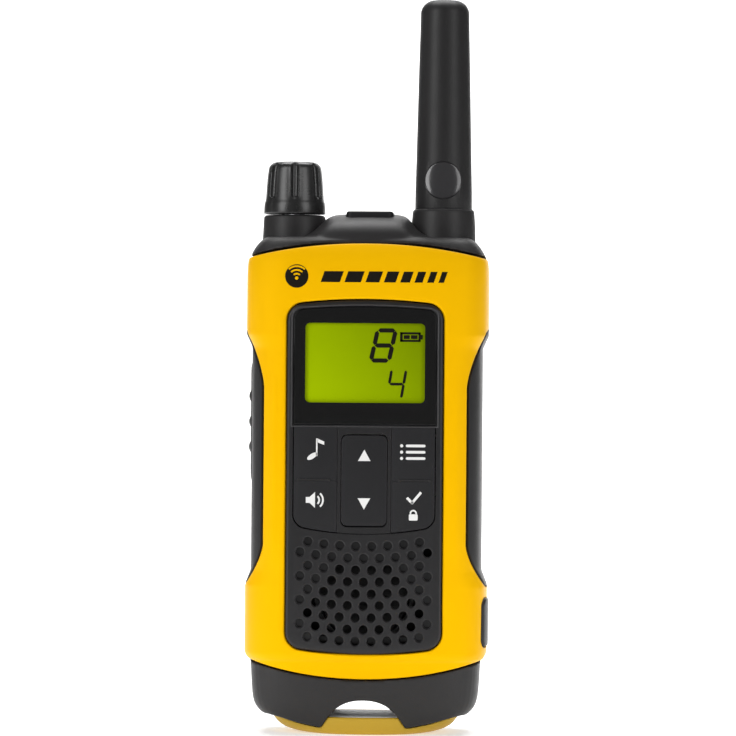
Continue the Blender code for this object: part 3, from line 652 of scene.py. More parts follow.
def patch(rows, thick, radius, inset=0.0):
    """A thick sheet on the body's surface with rounded edges, from a grid of (angle, z)."""
    grid = np.asarray(rows, float)
    levels, across = grid.shape[:2]
    spots = skin(grid[..., 0], grid[..., 1], inset)
    normal = outwards(grid[..., 0], grid[..., 1])
    down = np.linalg.norm(np.diff(spots, axis=0), axis=-1)
    side = np.linalg.norm(np.diff(spots, axis=1), axis=-1)
    run_down = np.concatenate((np.zeros((1, across)), np.cumsum(down, 0)))
    run_side = np.concatenate((np.zeros((levels, 1)), np.cumsum(side, 1)), 1)
    from_edge = np.minimum(run_down, run_down[-1] - run_down)
    from_edge = np.minimum(from_edge, np.minimum(run_side, run_side[:, -1:] - run_side))
    short = np.clip(1 - from_edge / radius, 0, 1)
    depth = radius * (1 - np.sqrt(1 - short**2))
    top = (spots - normal * depth[..., None]).reshape(-1, 3)
    low = (spots - normal * thick).reshape(-1, 3)
    faces = []
    total = levels * across
    for i in range(levels - 1):
        for j in range(across - 1):
            a = i * across + j
            quad = (a, a + 1, a + across + 1, a + across)
            faces.append(quad)
            faces.append(tuple(total + k for k in reversed(quad)))
    border = list(range(across)) + [i * across + across - 1 for i in range(1, levels)]
    border += [(levels - 1) * across + j for j in range(across - 2, -1, -1)]
    border += [i * across for i in range(levels - 2, 0, -1)]
    for a, b in zip(border, border[1:] + border[:1]):
        faces.append((a, b, total + b, total + a))
    return np.concatenate((top, low)).tolist(), faces


def eased(count, close=0.02):
    """Shares from 0 to 1, closer together at both ends."""
    t = np.linspace(0, 1, count)
    ends = np.array((0.0, close * 0.25, close * 0.6, close))
    return np.concatenate((ends, close + (1 - 2 * close) * t[1:-1], 1 - ends[::-1]))


def make_grips(rubber):
    tip_high = float(waist_height(body_at(98.0)[0] - GAP, True))
    tip_low = float(waist_height(body_at(33.0)[0] - GAP, False))
    shares = (1 - np.cos(np.linspace(0, math.pi, 120))) / 2
    rows = []
    for z in tip_low + shares * (tip_high - tip_low):
        flare = 0.0
        if z > WAIST_HIGH:
            flare = WAIST_HIGH_FLARE * (z - WAIST_HIGH) ** 1.5
        if z < WAIST_LOW:
            flare = WAIST_LOW_FLARE * (WAIST_LOW - z) ** 1.5
        near = float(angle_at_x(SHELL_WAIST + flare + GAP, z))
        far = float(angle_at_split(z))
        rows.append([(near + s * (far - near), z) for s in eased(22, 0.06)])
    right = np.array(rows)
    for name, side in (("grip_left", -1), ("grip_right", 1)):
        grip = new_object(f"{name}_pad", patch(right * (side, 1), SKIN, 0.45))
        if side < 0:
            carve(grip, ptt_hole(GAP))
        show(grip, rubber, ROOT, name, 45)


# Black housing: base, core and top


ROOF = np.array((
    (0, 8.3), (1.5, 8.22), (3.0, 7.95), (4.4, 7.5), (5.5, 6.95), (6.6, 6.1), (8.5, 4.15),
    (9.6, 2.4), (10.0, 1.85), (10.4, 1.74),
))
LIP = np.array(((11.2, 1.88), (15.8, 2.8), (20.8, 4.1), (23.2, 4.6)))


def under_base():
    """Front view of what the base leaves free: the foot rim and the lanyard tunnel."""
    roof = [(x, monotone(ROOF[:, 0], ROOF[:, 1], x)) for x in np.linspace(0, 10.4, 27)]
    edge = [(11.2, 1.88)]
    edge += [(x, monotone(LIP[:, 0], LIP[:, 1], x)) for x in np.linspace(12, 23.2, 14)]
    right = roof + edge + [(32.0, 4.6), (32.0, -5.0)]
    return [(float(x), float(z)) for x, z in right] + [(-float(x), float(z)) for x, z in right[:0:-1]]


def band_front(grow, high):
    """Front view of the space that the yellow band takes, up to a height or over its top."""
    across = np.linspace(0, 34, 40)
    right = [(x, shell_low(x) - grow) for x in across]
    if high is None:
        right += [(x, shell_top(x) + grow) for x in across[::-1]]
    else:
        right += [(34, high), (0, high)]
    return right + [(-x, z) for x, z in right[::-1] if x > 0.01]


def make_base(black):
    """The lower front of the housing, with its rounded tunnel mouth."""
    base = new_object("case_base", body(0.0, 1.0, 19.5))
    carve(base, prism(band_front(GAP, 40.0), -30.0, SPLIT + GAP))
    merge(base, body(CORE, 9.4, 24.0))
    carve(base, body(CAVITY, FLOOR, 30.0))
    carve(base, box((-40, 40), (SPLIT, 30), (-5, 50)))
    carve(base, prism(under_base(), -30.0, 30.0))
    melt(base, 0.26, 5)
    show(base, black, ROOT, "front_housing", 50)


def make_core(black):
    """The housing's hidden middle, between the base and the top."""
    core = bpy.data.objects.new("case_core", NODES["front_housing"].data.copy())
    bpy.context.scene.collection.objects.link(core)
    shaper = bmesh.new()
    shaper.from_mesh(core.data)
    bmesh.ops.remove_doubles(shaper, verts=shaper.verts, dist=1e-6)
    for level, up in ((24.2, -1), (110.0, 1)):
        made = bmesh.ops.bisect_plane(
            shaper, geom=shaper.verts[:] + shaper.edges[:] + shaper.faces[:],
            plane_co=(0, 0, level * MM), plane_no=(0, 0, up), clear_outer=True,
        )
        edges = [e for e in made["geom_cut"] if isinstance(e, bmesh.types.BMEdge)]
        bmesh.ops.holes_fill(shaper, edges=edges)
    shaper.to_mesh(core.data)
    shaper.free()
    face_out(core.data)
    show(core, black, ROOT, "front_housing")


RIDGE = np.array((
    (-27.1, 116.9), (-24.6, 118.0), (-21.1, 118.9), (-17.6, 119.5), (-14.8, 120.4), (-12.8, 121.6),
    (-11.5, 122.8), (-10.2, 124.0), (-9.2, 124.6), (-7.7, 125.0), (-5.2, 125.15), (0.2, 125.25),
    (5.8, 125.15), (7.9, 124.95), (9.1, 124.5), (10.0, 123.6), (11.1, 122.4), (12.4, 121.3),
    (14.4, 120.35), (17.2, 119.6), (20.8, 118.9), (24.2, 118.0), (26.9, 116.9),
))


def ridge():
    """The raised middle of the top, which runs down in front of the knob and the antenna."""
    rings = []
    for x in np.linspace(-26.8, 26.8, 150):
        top = float(monotone(RIDGE[:, 0], RIDGE[:, 1], x))
        rise = max(top - 116.6, 0.3)
        deep = 12.9 * (1 - (abs(x) / 29.5) ** 3)
        ring = []
        for i in range(41):
            turn = math.pi * i / 40
            y = -deep * math.copysign(abs(math.cos(turn)) ** 1.1, math.cos(turn))
            ring.append((x, y, 116.6 + rise * math.sin(turn) ** 0.7))
        rings.append(ring)
    return loft(rings)


def make_top(black):
    """The black deck over the shell, with the collars that the knob and the antenna stand on."""
    deck = new_object("case_top", body(0.0, 108.0, BODY_TOP))
    carve(deck, prism(band_front(GAP, None), -30.0, SPLIT + GAP))
    merge(deck, body(CORE, 106.0, BODY_TOP - 1.2))
    carve(deck, body(CAVITY, 100.0, 117.0))
    carve(deck, box((-40, 40), (SPLIT, 30), (90, REAR_TOP)))
    carve(deck, box((-40, 40), (-40, 40), (90, 109.0)))
    raised = new_object("raised", ridge())
    deck.data = joined_mesh(deck, raised)
    melt(deck, 0.33, 14)
    carve(deck, prism(button_outline(0.2), 110, 130, "Z"))
    for x, radius in ((KNOB_X, 5.6), (ANTENNA_X, 5.6)):
        carve(deck, turned(((radius, 110), (radius, 130)), (x, 0)))
    show(deck, black, ROOT, "front_housing", 50)
    knob = ((7.85, 116.8), (7.68, 120.0), (7.48, 124.05), (7.38, 124.4), (7.0, 124.7), (3.4, 124.7),
            (3.1, 124.4), (3.1, 116.8))
    mast = ((7.85, 116.8), (7.75, 122.0), (7.5, 125.6), (7.38, 126.05), (7.0, 126.4), (4.4, 126.4),
            (4.2, 126.2), (4.2, 116.8))
    for name, profile, x in (("collar_knob", knob, KNOB_X), ("collar_antenna", mast, ANTENNA_X)):
        collar = new_object(name, tube(profile, (x, 0), count=96))
        show(collar, black, ROOT, "front_housing")


def joined_mesh(item, other):
    """One mesh of two objects; the second is removed."""
    shaper = bmesh.new()
    shaper.from_mesh(item.data)
    shaper.from_mesh(other.data)
    mesh = bpy.data.meshes.new("joined")
    shaper.to_mesh(mesh)
    shaper.free()
    drop(other)
    return mesh


def make_rear(black):
    rear = new_object("case_rear", body(0.0, 1.0, REAR_TOP - GAP))
    carve(rear, body(REAR_WALL, FLOOR, REAR_TOP - GAP - REAR_WALL))
    carve(rear, box((-40, 40), (-30, SPLIT + GAP), (-5, 130)))
    carve(rear, prism(under_base(), -30.0, 30.0))
    opening = rounded((-DOOR_HALF - GAP, DOOR_HALF + GAP), (DOOR_LOW - GAP, DOOR_HIGH + GAP), 3.0)
    carve(rear, prism(opening, 9.0, 30.0))
    for x, z in SCREWS:
        merge(rear, turned(((4.0, 8.2), (4.0, 14.4)), (x, z), "Y", 40))
        carve(rear, turned(((1.5, 5.0), (1.5, 20.0)), (x, z), "Y", 24))
        carve(rear, turned(((2.9, 11.4), (2.9, 20.0)), (x, z), "Y", 40))
    show(rear, black, ROOT, "rear_housing", 40)


def make_rim(yellow, grey):
    """The foot under the base; its middle is the bar that a lanyard goes round."""
    levels = ((0.0, 14.2, 11.7), (0.12, 15.4, 12.0), (0.35, 16.9, 12.3), (0.75, 18.4, 12.5),
              (1.2, 19.6, 12.6), (1.8, 20.6, 12.7), (2.4, 21.3, 12.8), (3.4, 22.1, 12.9),
              (4.6, 22.8, 12.9))
    rings = []
    for z, half, deep in levels:
        turn = 2 * math.pi * np.arange(112) / 112
        x = np.copysign(np.abs(np.cos(turn)) ** 0.86, np.cos(turn)) * half
        y = np.copysign(np.abs(np.sin(turn)) ** 0.86, np.sin(turn)) * deep
        rings.append(np.stack((x, y, np.full(112, z)), 1))
    above = [(0, 4.15), (8.5, 4.15), (9.65, 2.35), (10.05, 1.7), (10.6, 1.56), (13.2, 2.0)]
    above += [(15.8, 2.5), (18.4, 3.2), (20.8, 3.8), (23.2, 4.3), (32, 8.5), (32, 12)]
    rim = new_object("base_rim_foot", loft(rings))
    carve(rim, prism(above + [(-x, z) for x, z in above[:0:-1]], -30.0, 30.0))
    melt(rim, 0.22, 3)
    show(rim, yellow, ROOT, "base_rim", 50)
    front = [(-8.3 + 16.6 * i / 24, -12.0 + 1.6 * (-1 + i / 12) ** 2) for i in range(25)]
    cap = slab(front + [(8.3, 9.0), (-8.3, 9.0)], 3.9, 4.24, "Z", round_high=0.1)
    show(new_object("base_rim_bar_plate", cap), grey, ROOT, "base_rim")


# Front plate


def hole_place(row, column):
    count = 9 if row % 2 else 8
    x = (column - (count + 1) / 2) * HOLE_PITCH
    return x, ROW_TOP - row * ROW_PITCH + ROW_BOW * (x / ROW_BOW_X) ** 2


def hole_cutters():
    """Every grille hole as one cutter: the open ones go through, the rest are shallow dimples."""
    shapes = []
    for row in range(9):
        first, last = OPEN_HOLES.get(row, (99, 0))
        for column in range(1, 10 if row % 2 else 9):
            bottom = -5.0 if first <= column <= last else PLATE_FRONT + 1.25
            profile = ((HOLE_R, bottom), (HOLE_R, PLATE_FRONT + 0.2), (HOLE_RIM, PLATE_FRONT - 0.02),
                       (HOLE_RIM + 0.3, PLATE_FRONT - 1.0))
            shapes.append(turned(profile, hole_place(row, column), "Y", 28))
    return join(*shapes)


def plate_outline(grow=0.0):
    return bowed(PLATE_HALF + grow, PLATE_LOW - grow, PLATE_HIGH + grow, 1.7, 1.35, 3.4)


def window_outline(shrink=0.0):
    whole = bowed(PANEL_HALF - shrink, WINDOW_LOW - 9.0, WINDOW_HIGH - shrink, 0.0, 0.9, 2.0)
    return spaced(clip(whole, 1, WINDOW_LOW - 0.3 + shrink, 1))


def keypad_outline(shrink=0.0):
    whole = bowed(PANEL_HALF - shrink, KEYS_LOW + shrink, KEYS_HIGH + 9.0, 1.9, 0.0, 2.6)
    return spaced(clip(whole, 1, KEYS_HIGH - shrink, -1))


def frame_cut(outline, width, depth):
    """A cutter for a groove that follows an outline just inside it."""
    inside = inward(outline, width)
    front = PLATE_FRONT - 1.0
    rings = [place("Y", outline, front), place("Y", outline, PLATE_FRONT + depth)]
    rings += [place("Y", inside, PLATE_FRONT + depth), place("Y", inside, front)]
    return loft(rings, around=True)


def rocker_outline(grow=0.0):
    across = ROCKER_HALF + 0.2 + grow / 3
    return rounded((-across, across), (ROCKER_LOW - grow, ROCKER_HIGH + grow), 1.6)


def make_plate(gloss, polished):
    blank = slab(plate_outline(), PLATE_FRONT, PLATE_BACK, round_low=0.7, steps=6)
    plate = new_object("faceplate_front", blank)
    carve(plate, flared(window_outline(), PLATE_FRONT + 1.15, PLATE_FRONT, 0.28, 0.3))
    carve(plate, prism(rounded((-15.3, 15.3), (79.0, 100.2), 1.0), -20.0, -5.0))
    for side in (-1, 1):
        column = spaced(clip(keypad_outline(), 0, side * (KEY_INNER - GAP), side))
        carve(plate, flared(column, -5.0, PLATE_FRONT, 0.04, 0.06))
    carve(plate, flared(rocker_outline(GAP), -5.0, PLATE_FRONT, 0.04, 0.06))
    carve(plate, frame_cut(keypad_outline(), 0.3, 0.35))
    carve(plate, hole_cutters())
    show(plate, gloss, ROOT, "faceplate", 25)
    line = window_outline(-0.42)
    rings = []
    for i in range(8):
        turn = 2 * math.pi * i / 8
        rings.append(place("Y", inward(line, 0.13 * math.cos(turn)), PLATE_FRONT + 0.06 * math.sin(turn)))
    lip = new_object("faceplate_lip", loft(rings, around=True))
    show(lip, polished, ROOT, "faceplate", 60)


SEGMENTS = {
    "top": ((0, 2), (1, 2)),
    "middle": ((0, 1), (1, 1)),
    "bottom": ((0, 0), (1, 0)),
    "left_high": ((0, 1), (0, 2)),
    "left_low": ((0, 0), (0, 1)),
    "right_high": ((1, 1), (1, 2)),
    "right_low": ((1, 0), (1, 1)),
}


def segment(start, end, low, size, slant, weight):
    """One bar of a seven-segment digit, with pointed ends."""
    at = lambda p: np.array((low[0] + p[0] * size[0] + slant * p[1] * size[1], low[1] + p[1] * size[1]))
    a, b = at(start), at(end)
    along = (b - a) / np.linalg.norm(b - a)
    across = np.array((-along[1], along[0])) * weight / 2
    clear = 0.04 + weight * 0.06
    tip = weight / 2
    a, b = a + along * clear, b - along * clear
    shape = (a, a + along * tip + across, b - along * tip + across, b, b - along * tip - across,
             a + along * tip - across)
    return [tuple(p) for p in shape]


def make_display(glass, lcd, ink, white):
    pane = new_object("window_pane", slab(window_outline(GAP * 0.4), PLATE_FRONT + 0.15, PLATE_FRONT + 0.85,
                                          round_low=0.12))
    view = rounded((-14.3, 14.3), (79.6, 98.6), 1.1)
    carve(pane, flared(view, -10.0, PLATE_FRONT + 0.15, 0.06, 0.08))
    show(pane, glass, ROOT, "display_window", 25)
    panel = new_object("lcd_face", slab(rounded((-15.9, 15.9), (78.2, 101.0), 0.8), -14.88, -13.0))
    show(panel, lcd, ROOT, "lcd_panel")
    marks = []
    for name in SEGMENTS:
        marks.append(segment(*SEGMENTS[name], (1.35, 89.7), (4.3, 3.6), 0.22, 1.0))
    for name in ("left_high", "middle", "right_high", "right_low"):
        marks.append(segment(*SEGMENTS[name], (5.2, 80.75), (3.45, 3.35), 0.17, 0.62))
    ring = (((8.3, 13.2), (96.0, 96.5)), ((8.3, 13.2), (94.2, 94.7)), ((8.3, 8.9), (94.2, 96.5)),
            ((12.7, 13.2), (94.2, 96.5)), ((13.2, 13.7), (94.8, 95.9)), ((9.15, 10.6), (94.9, 95.8)),
            ((10.9, 12.45), (94.9, 95.8)))
    marks += [rounded(x, z, 0.08, 2) for x, z in ring]
    flat = join(*[prism(shape, -14.94, -14.87) for shape in marks])
    digits = new_object("lcd_digits", flat)
    show(digits, ink, ROOT, "lcd_panel")
    holder = new_object("lcd_backlight", slab(rounded((-17.2, 17.2), (76.4, 102.6), 1.5), -11.2, -9.6,
                                              round_low=0.2, round_high=0.2))
    show(holder, white, ROOT, "lcd_holder")


def make_key(name, side, low, high, rubber):
    outline = spaced(clip(keypad_outline(0.22), 0, side * (KEY_INNER - GAP + 0.06), side))
    key = new_object(f"{name}_cap", slab(outline, KEY_FRONT, KEY_BACK, round_low=0.18))
    keep(key, box((-30, 30), (-20, 0), (low, high)))
    middle = (max(low, KEYS_LOW - 1) + min(high, KEYS_HIGH + 1)) / 2
    flange = sorted((side * 12.0, side * 17.9))
    merge(key, box(flange, (-13.9, -13.1), (middle - 3.5, middle + 3.5)))
    merge(key, turned(((1.5, -13.6), (1.5, KEY_POST_END)), (side * KEY_X, middle), "Y", 24))
    show(key, rubber, name, name, 25)


def make_keys(rubber, legend, trim):
    hair = 0.02
    upper = (KEYS_MIDDLE + hair, KEYS_HIGH + 1)
    lower = (KEYS_LOW - 1, KEYS_MIDDLE - hair)
    for names, span in ((("key_call", "key_menu"), upper), (("key_monitor", "key_select"), lower)):
        for name, side in zip(names, (-1, 1)):
            make_key(name, side, *span, rubber)
    rocker = new_object("key_rocker_cap", slab(rocker_outline(0.04), KEY_FRONT, KEY_BACK, round_low=0.25))
    middle = (ROCKER_LOW + ROCKER_HIGH) / 2
    for z in (middle - 6.5, middle + 6.5):
        merge(rocker, turned(((1.5, -13.6), (1.5, KEY_POST_END)), (0, z), "Y", 24))
    show(rocker, rubber, "key_rocker", "key_rocker", 25)
    front = KEY_FRONT
    for side, name in ((-1, "key_call"), (1, "key_menu")):
        x = sorted((side * 8.4, side * 15.7))
        line = join(prism(rounded(x, (60.95, 61.3), 0.15), front - 0.16, front + 0.1),
                    slab(circle(x[0], 61.12, 0.36, 20), front - 0.2, front + 0.1, round_low=0.12),
                    slab(circle(x[1], 61.12, 0.36, 20), front - 0.2, front + 0.1, round_low=0.12))
        show(new_object(f"{name}_divider", line), trim, name, name)
    make_legends(legend)


def thick_line(places, width, flat):
    """Bars of one width along a run of points."""
    shapes = []
    for a, b in zip(places, places[1:]):
        run = np.array(b) - np.array(a)
        run = run / np.linalg.norm(run)
        side = np.array((-run[1], run[0])) * width / 2
        a2, b2 = np.array(a) - run * width * 0.3, np.array(b) + run * width * 0.3
        corners = [tuple(p) for p in (a2 - side, b2 - side, b2 + side, a2 + side)]
        shapes.append(prism(corners, *flat))
    return shapes


def arc(centre, radius, start, end, steps=14):
    turns = np.radians(np.linspace(start, end, steps))
    return [(centre[0] + radius * math.cos(t), centre[1] + radius * math.sin(t)) for t in turns]


def band(centre, radius, width, start, end, flat, steps=14):
    outer = arc(centre, radius + width / 2, start, end, steps)
    inner = arc(centre, radius - width / 2, end, start, steps)
    return prism(outer + inner, *flat)


def make_legends(legend):
    """Plain pictograms: a note, arrows, a list, a loudspeaker, a tick and a padlock."""
    flat = (KEY_FRONT - 0.03, KEY_FRONT + 0.1)
    head = [(-12.45 + 1.25 * math.cos(t) * 0.94 - 0.85 * math.sin(t) * -0.34,
             66.75 + 1.25 * math.cos(t) * 0.34 + 0.85 * math.sin(t) * 0.94)
            for t in np.linspace(0, 2 * math.pi, 28, endpoint=False)]
    note = [prism(head, *flat), prism([(-11.55, 66.8), (-11.2, 66.8), (-11.2, 71.0), (-11.55, 71.0)], *flat),
            prism([(-11.3, 71.0), (-9.6, 70.25), (-9.6, 69.45), (-11.3, 70.1)], *flat)]
    menu = []
    for z in (66.4, 67.9, 69.4):
        menu.append(prism(rounded((9.9, 14.6), (z - 0.32, z + 0.32), 0.3, 4), *flat))
        menu.append(prism(circle(8.9, z, 0.38, 16), *flat))
    speaker = [prism([(-13.9, 55.6), (-13.0, 55.6), (-11.7, 54.4), (-11.7, 58.2), (-13.0, 57.0),
                      (-13.9, 57.0)], *flat)]
    speaker += [band((-11.9, 56.3), r, 0.42, -48, 48, flat) for r in (1.2, 2.1)]
    tick = thick_line(((10.4, 56.9), (11.5, 55.8), (13.5, 58.2)), 0.62, flat)
    lock = [prism(rounded((10.75, 12.85), (51.6, 53.1), 0.25, 4), *flat),
            band((11.8, 53.3), 0.68, 0.38, -12, 192, flat)]
    up = prism([(-1.5, 65.7), (1.5, 65.7), (0, 68.4)], *flat)
    down = prism([(-1.5, 56.8), (0, 54.1), (1.5, 56.8)], *flat)
    for name, shapes in (("key_call", note), ("key_menu", menu), ("key_monitor", speaker),
                         ("key_select", tick + lock), ("key_rocker", [up, down])):
        show(new_object(f"{name}_legend", join(*shapes)), legend, name, name)


def draped(outline, surface, top, thick, radius=0.0, rings_in=6, steps=4):
    """A sheet over an outline that follows surface(a, b) outwards, with a rounded rim."""
    outline = spaced(outline)
    middle = np.mean(np.array(outline), 0)
    levels = [(outline, top - thick)]
    if radius:
        for i in range(steps + 1):
            turn = math.pi / 2 * i / steps
            edge = inward(outline, radius * (1 - math.cos(turn)))
            levels.append((edge, top - radius * (1 - math.sin(turn))))
    else:
        levels.append((outline, top))
    last = np.array(levels[-1][0])
    for i in range(1, rings_in):
        levels.append((middle + (last - middle) * (1 - i / rings_in), top))
    under = [(middle + (np.array(outline) - middle) * (1 - i / 3), top - thick) for i in (2, 1)]
    rings = []
    for line, level in under + levels:
        rings.append([surface(a, b, level) for a, b in line])
    return loft(rings)


def on_front(x, z, level):
    half, front, _ = body_at(z)
    y = front * bulge(min(abs(x) / half, 1), FRONT_POWER)
    return x, -float(y) - level, z


def on_back(x, z, level):
    half, _, back = body_at(z)
    y = back * bulge(min(abs(x) / half, 1), BACK_POWER)
    return x, float(y) + level, z


def on_right(y, z, level):
    half, front, back = body_at(z)
    deep, power = (front, FRONT_POWER) if y < 0 else (back, BACK_POWER)
    x = half * bulge(min(abs(y) / deep, 1), power)
    return float(x) + level, y, z


def make_badge(ink, yellow):
    """A generic sign where the maker's would be: radio waves in a disc, and a row of plain bars."""
    disc = new_object("badge_disc", draped(circle(BADGE_X, 109.75, 2.8, 64), on_front, 0.05, 0.4))
    show(disc, ink, ROOT, "front_shell")
    waves = [band_on(BADGE_X, 109.2, r, 0.42, 48, 132) for r in (1.1, 2.0, 2.9)]
    waves.append(draped(circle(BADGE_X, 109.25, 0.42, 16), on_front, 0.09, 0.2, rings_in=2))
    show(new_object("badge_waves", join(*waves)), yellow, ROOT, "front_shell")
    bars = []
    low = BAR_START
    foot, head = BADGE_Z - BAR_HALF, BADGE_Z + BAR_HALF
    for width in BAR_WIDTHS:
        high = low + width
        shape = [(low - BAR_LEAN, foot), (high - BAR_LEAN, foot)]
        shape += [(high + BAR_LEAN, head), (low + BAR_LEAN, head)]
        bars.append(draped(shape, on_front, 0.05, 0.4, rings_in=2))
        low += width + BAR_GAP
    show(new_object("badge_bars", join(*bars)), ink, ROOT, "front_shell")


def band_on(x, z, radius, width, start, end):
    outer = arc((x, z), radius + width / 2, start, end, 16)
    inner = arc((x, z), radius - width / 2, end, start, 16)
    top = [on_front(a, b, 0.09) for a, b in outer + inner]
    low = [on_front(a, b, -0.1) for a, b in outer + inner]
    return loft([low, top])


# Top controls


def make_knob(black):
    turns = 2 * math.pi * np.arange(252) / 252
    profile = np.array((
        (KNOB_LOW, 7.3), (125.1, 7.44), (125.4, 7.5), (126.8, 7.44), (127.6, 7.36), (128.0, 7.22),
        (128.3, 7.12), (129.5, 6.98), (132.5, 6.78), (135.1, 6.52), (136.0, 6.38), (136.6, 6.18),
        (137.0, 5.92), (137.35, 5.5), (137.6, 5.0), (KNOB_TOP, 4.4),
    ))
    levels = np.concatenate((profile[:6, 0], np.linspace(128.3, 136.9, 40), profile[12:, 0]))
    phase = (turns - math.radians(-86.5)) * KNOB_FLUTES / (2 * math.pi)
    off = (phase - np.round(phase)) * 2 * math.pi / KNOB_FLUTES
    rings = []
    for z in levels:
        radius = float(monotone(profile[:, 0], profile[:, 1], z))
        reach = fade(128.4, 129.3, z) * fade(137.5, 136.4, z)
        width = 0.98 * math.sqrt(max(reach, 0.0001))
        side = np.clip(np.abs(off) * radius / width, 0, 1)
        groove = 0.8 * reach * (1 - side**2) ** 0.8
        shoulder = 0.07 * reach * np.exp(-(((np.abs(off) * radius - width) / 0.35) ** 2))
        r = radius - groove + shoulder
        rings.append(np.stack((KNOB_X + r * np.cos(turns), r * np.sin(turns), np.full(252, z)), 1))
    for radius, z in ((3.2, 137.7), (2.9, 137.6), (1.5, 137.6)):
        rings.append([(KNOB_X + radius * math.cos(t), radius * math.sin(t), z) for t in turns])
    knob = new_object("volume_knob_cap", loft(rings))
    carve(knob, turned(((3.0, 120.0), (3.0, 134.5)), (KNOB_X, 0)))
    show(knob, black, "volume_knob", "volume_knob", 60)


def button_outline(grow):
    across = (BUTTON_LOW_X - grow, BUTTON_HIGH_X + grow)
    return rounded(across, (-6.4 - grow, 4.0 + grow), 1.4)


def make_alert_button(rubber):
    cap = slab(button_outline(0.0), BUTTON_LOW, BUTTON_TOP, "Z", round_high=0.6, steps=6)
    button = new_object("alert_button_cap", cap)
    merge(button, box((-6.6, 7.3), (-4.9, 4.9), (BUTTON_LOW, 123.0)))
    show(button, rubber, "alert_button", "alert_button", 40)


def make_antenna(rubber, polished):
    profile = [(6.86, ANTENNA_LOW - 0.27), (6.9, 126.6), (6.86, 131.0), (6.68, 138.0)]
    profile += [(6.42, 150.0), (6.15, 162.0), (5.95, 170.0), (5.9, 172.6)]
    for step in range(1, 13):
        turn = math.pi / 2 * step / 12
        profile.append((2.6 + 3.3 * math.cos(turn), HEIGHT - 3.4 * (1 - math.sin(turn))))
    profile.append((1.2, HEIGHT))
    sheath = new_object("antenna_rubber", turned(profile, (ANTENNA_X, 0), count=96))
    recess = turned(((4.55, -5.7), (4.55, -9.0)), (ANTENNA_X, DISC_Z), "Y", 72)
    carve(sheath, turned(((3.9, 120.0), (3.9, 169.0)), (ANTENNA_X, 0)), recess)
    show(sheath, rubber, ROOT, "antenna_sheath", 40)
    rings = []
    edge = ((4.5, 0.0), (4.5, 0.42), (4.42, 0.5), (4.2, 0.54), (3.2, 0.55), (2.0, 0.55), (0.6, 0.55))
    for radius, level in edge:
        ring = []
        for a, b in circle(0, 0, radius, 64):
            ring.append((ANTENNA_X + a, -5.0 - level - 0.9 * (1 - (a / 4.6) ** 2), DISC_Z + b))
        rings.append(ring)
    disc = new_object("antenna_disc", loft(rings))
    show(disc, polished, ROOT, "antenna_sheath", 40)


# Sides


def ptt_hole(grow):
    depth = (PTT_FRONT - grow, PTT_BACK + grow)
    return prism(rounded(depth, (PTT_LOW - grow, PTT_HIGH + grow), 2.6), -40.0, -15.0, "X")


def side_key_hole(grow):
    across = (SIDE_KEY_Y - 2.2 - grow, SIDE_KEY_Y + 2.2 + grow)
    tall = (SIDE_KEY_Z - 3.7 - grow, SIDE_KEY_Z + 3.7 + grow)
    return prism(rounded(across, tall, 2.1), -40.0, -15.0, "X")


def cover_hole(grow):
    depth = (COVER_FRONT - grow, COVER_BACK + grow)
    return prism(rounded(depth, (COVER_LOW - grow, COVER_HIGH + grow), 2.2), 20.0, 40.0, "X")


def rib(z):
    """One half-round bump across the push-to-talk button."""
    rings = []
    for i in range(1, 20):
        turn = math.pi * i / 20
        y = (PTT_FRONT + PTT_BACK) / 2 - 3.5 * math.cos(turn)
        size = math.sin(turn) ** 0.4
        rings.append([(-27.45 - 1.2 * size * math.cos(t), y, z + 1.75 * size * math.sin(t))
                      for t in np.linspace(0, 2 * math.pi, 28, endpoint=False)])
    return loft(rings)


def make_ptt(rubber):
    outline = rounded((PTT_FRONT, PTT_BACK), (PTT_LOW, PTT_HIGH), 2.6)
    button = new_object("ptt_button_cap", slab(outline, -28.0, -24.2, "X", round_low=0.7))
    merge(button, *[rib(z) for z in (68.7, 74.8, 80.9)])
    melt(button, 0.2, 4)
    show(button, rubber, "ptt_button", "ptt_button", 60)
    inner = new_object("ptt_button_stem", box((-24.3, -22.5), (PTT_FRONT + 1, PTT_BACK - 1), (62.5, 87.1)))
    merge(inner, box((-22.9, -22.3), (PTT_FRONT - 0.6, PTT_BACK - 1.0), (59.5, 90.1)))
    show(inner, rubber, "ptt_button", "ptt_button")


def make_side_key(rubber):
    across = (SIDE_KEY_Y - 2.2, SIDE_KEY_Y + 2.2)
    outline = rounded(across, (SIDE_KEY_Z - 3.7, SIDE_KEY_Z + 3.7), 2.1)
    button = new_object("side_button_cap", slab(outline, -28.9, -24.4, "X", round_low=0.7, steps=6))
    flange = (SIDE_KEY_Y - 3.2, SIDE_KEY_Y + 3.2)
    merge(button, box((-24.9, -24.2), flange, (SIDE_KEY_Z - 4.6, SIDE_KEY_Z + 3.0)))
    show(button, rubber, "side_button", "side_button", 40)


def make_port_cover(rubber):
    outline = rounded((COVER_FRONT, COVER_BACK), (COVER_LOW, COVER_HIGH), 2.2)
    cover = new_object("port_cover_flap", draped(outline, on_right, 0.4, 1.6, 0.5))
    show(cover, rubber, "port_cover", "port_cover", 40)


# Back


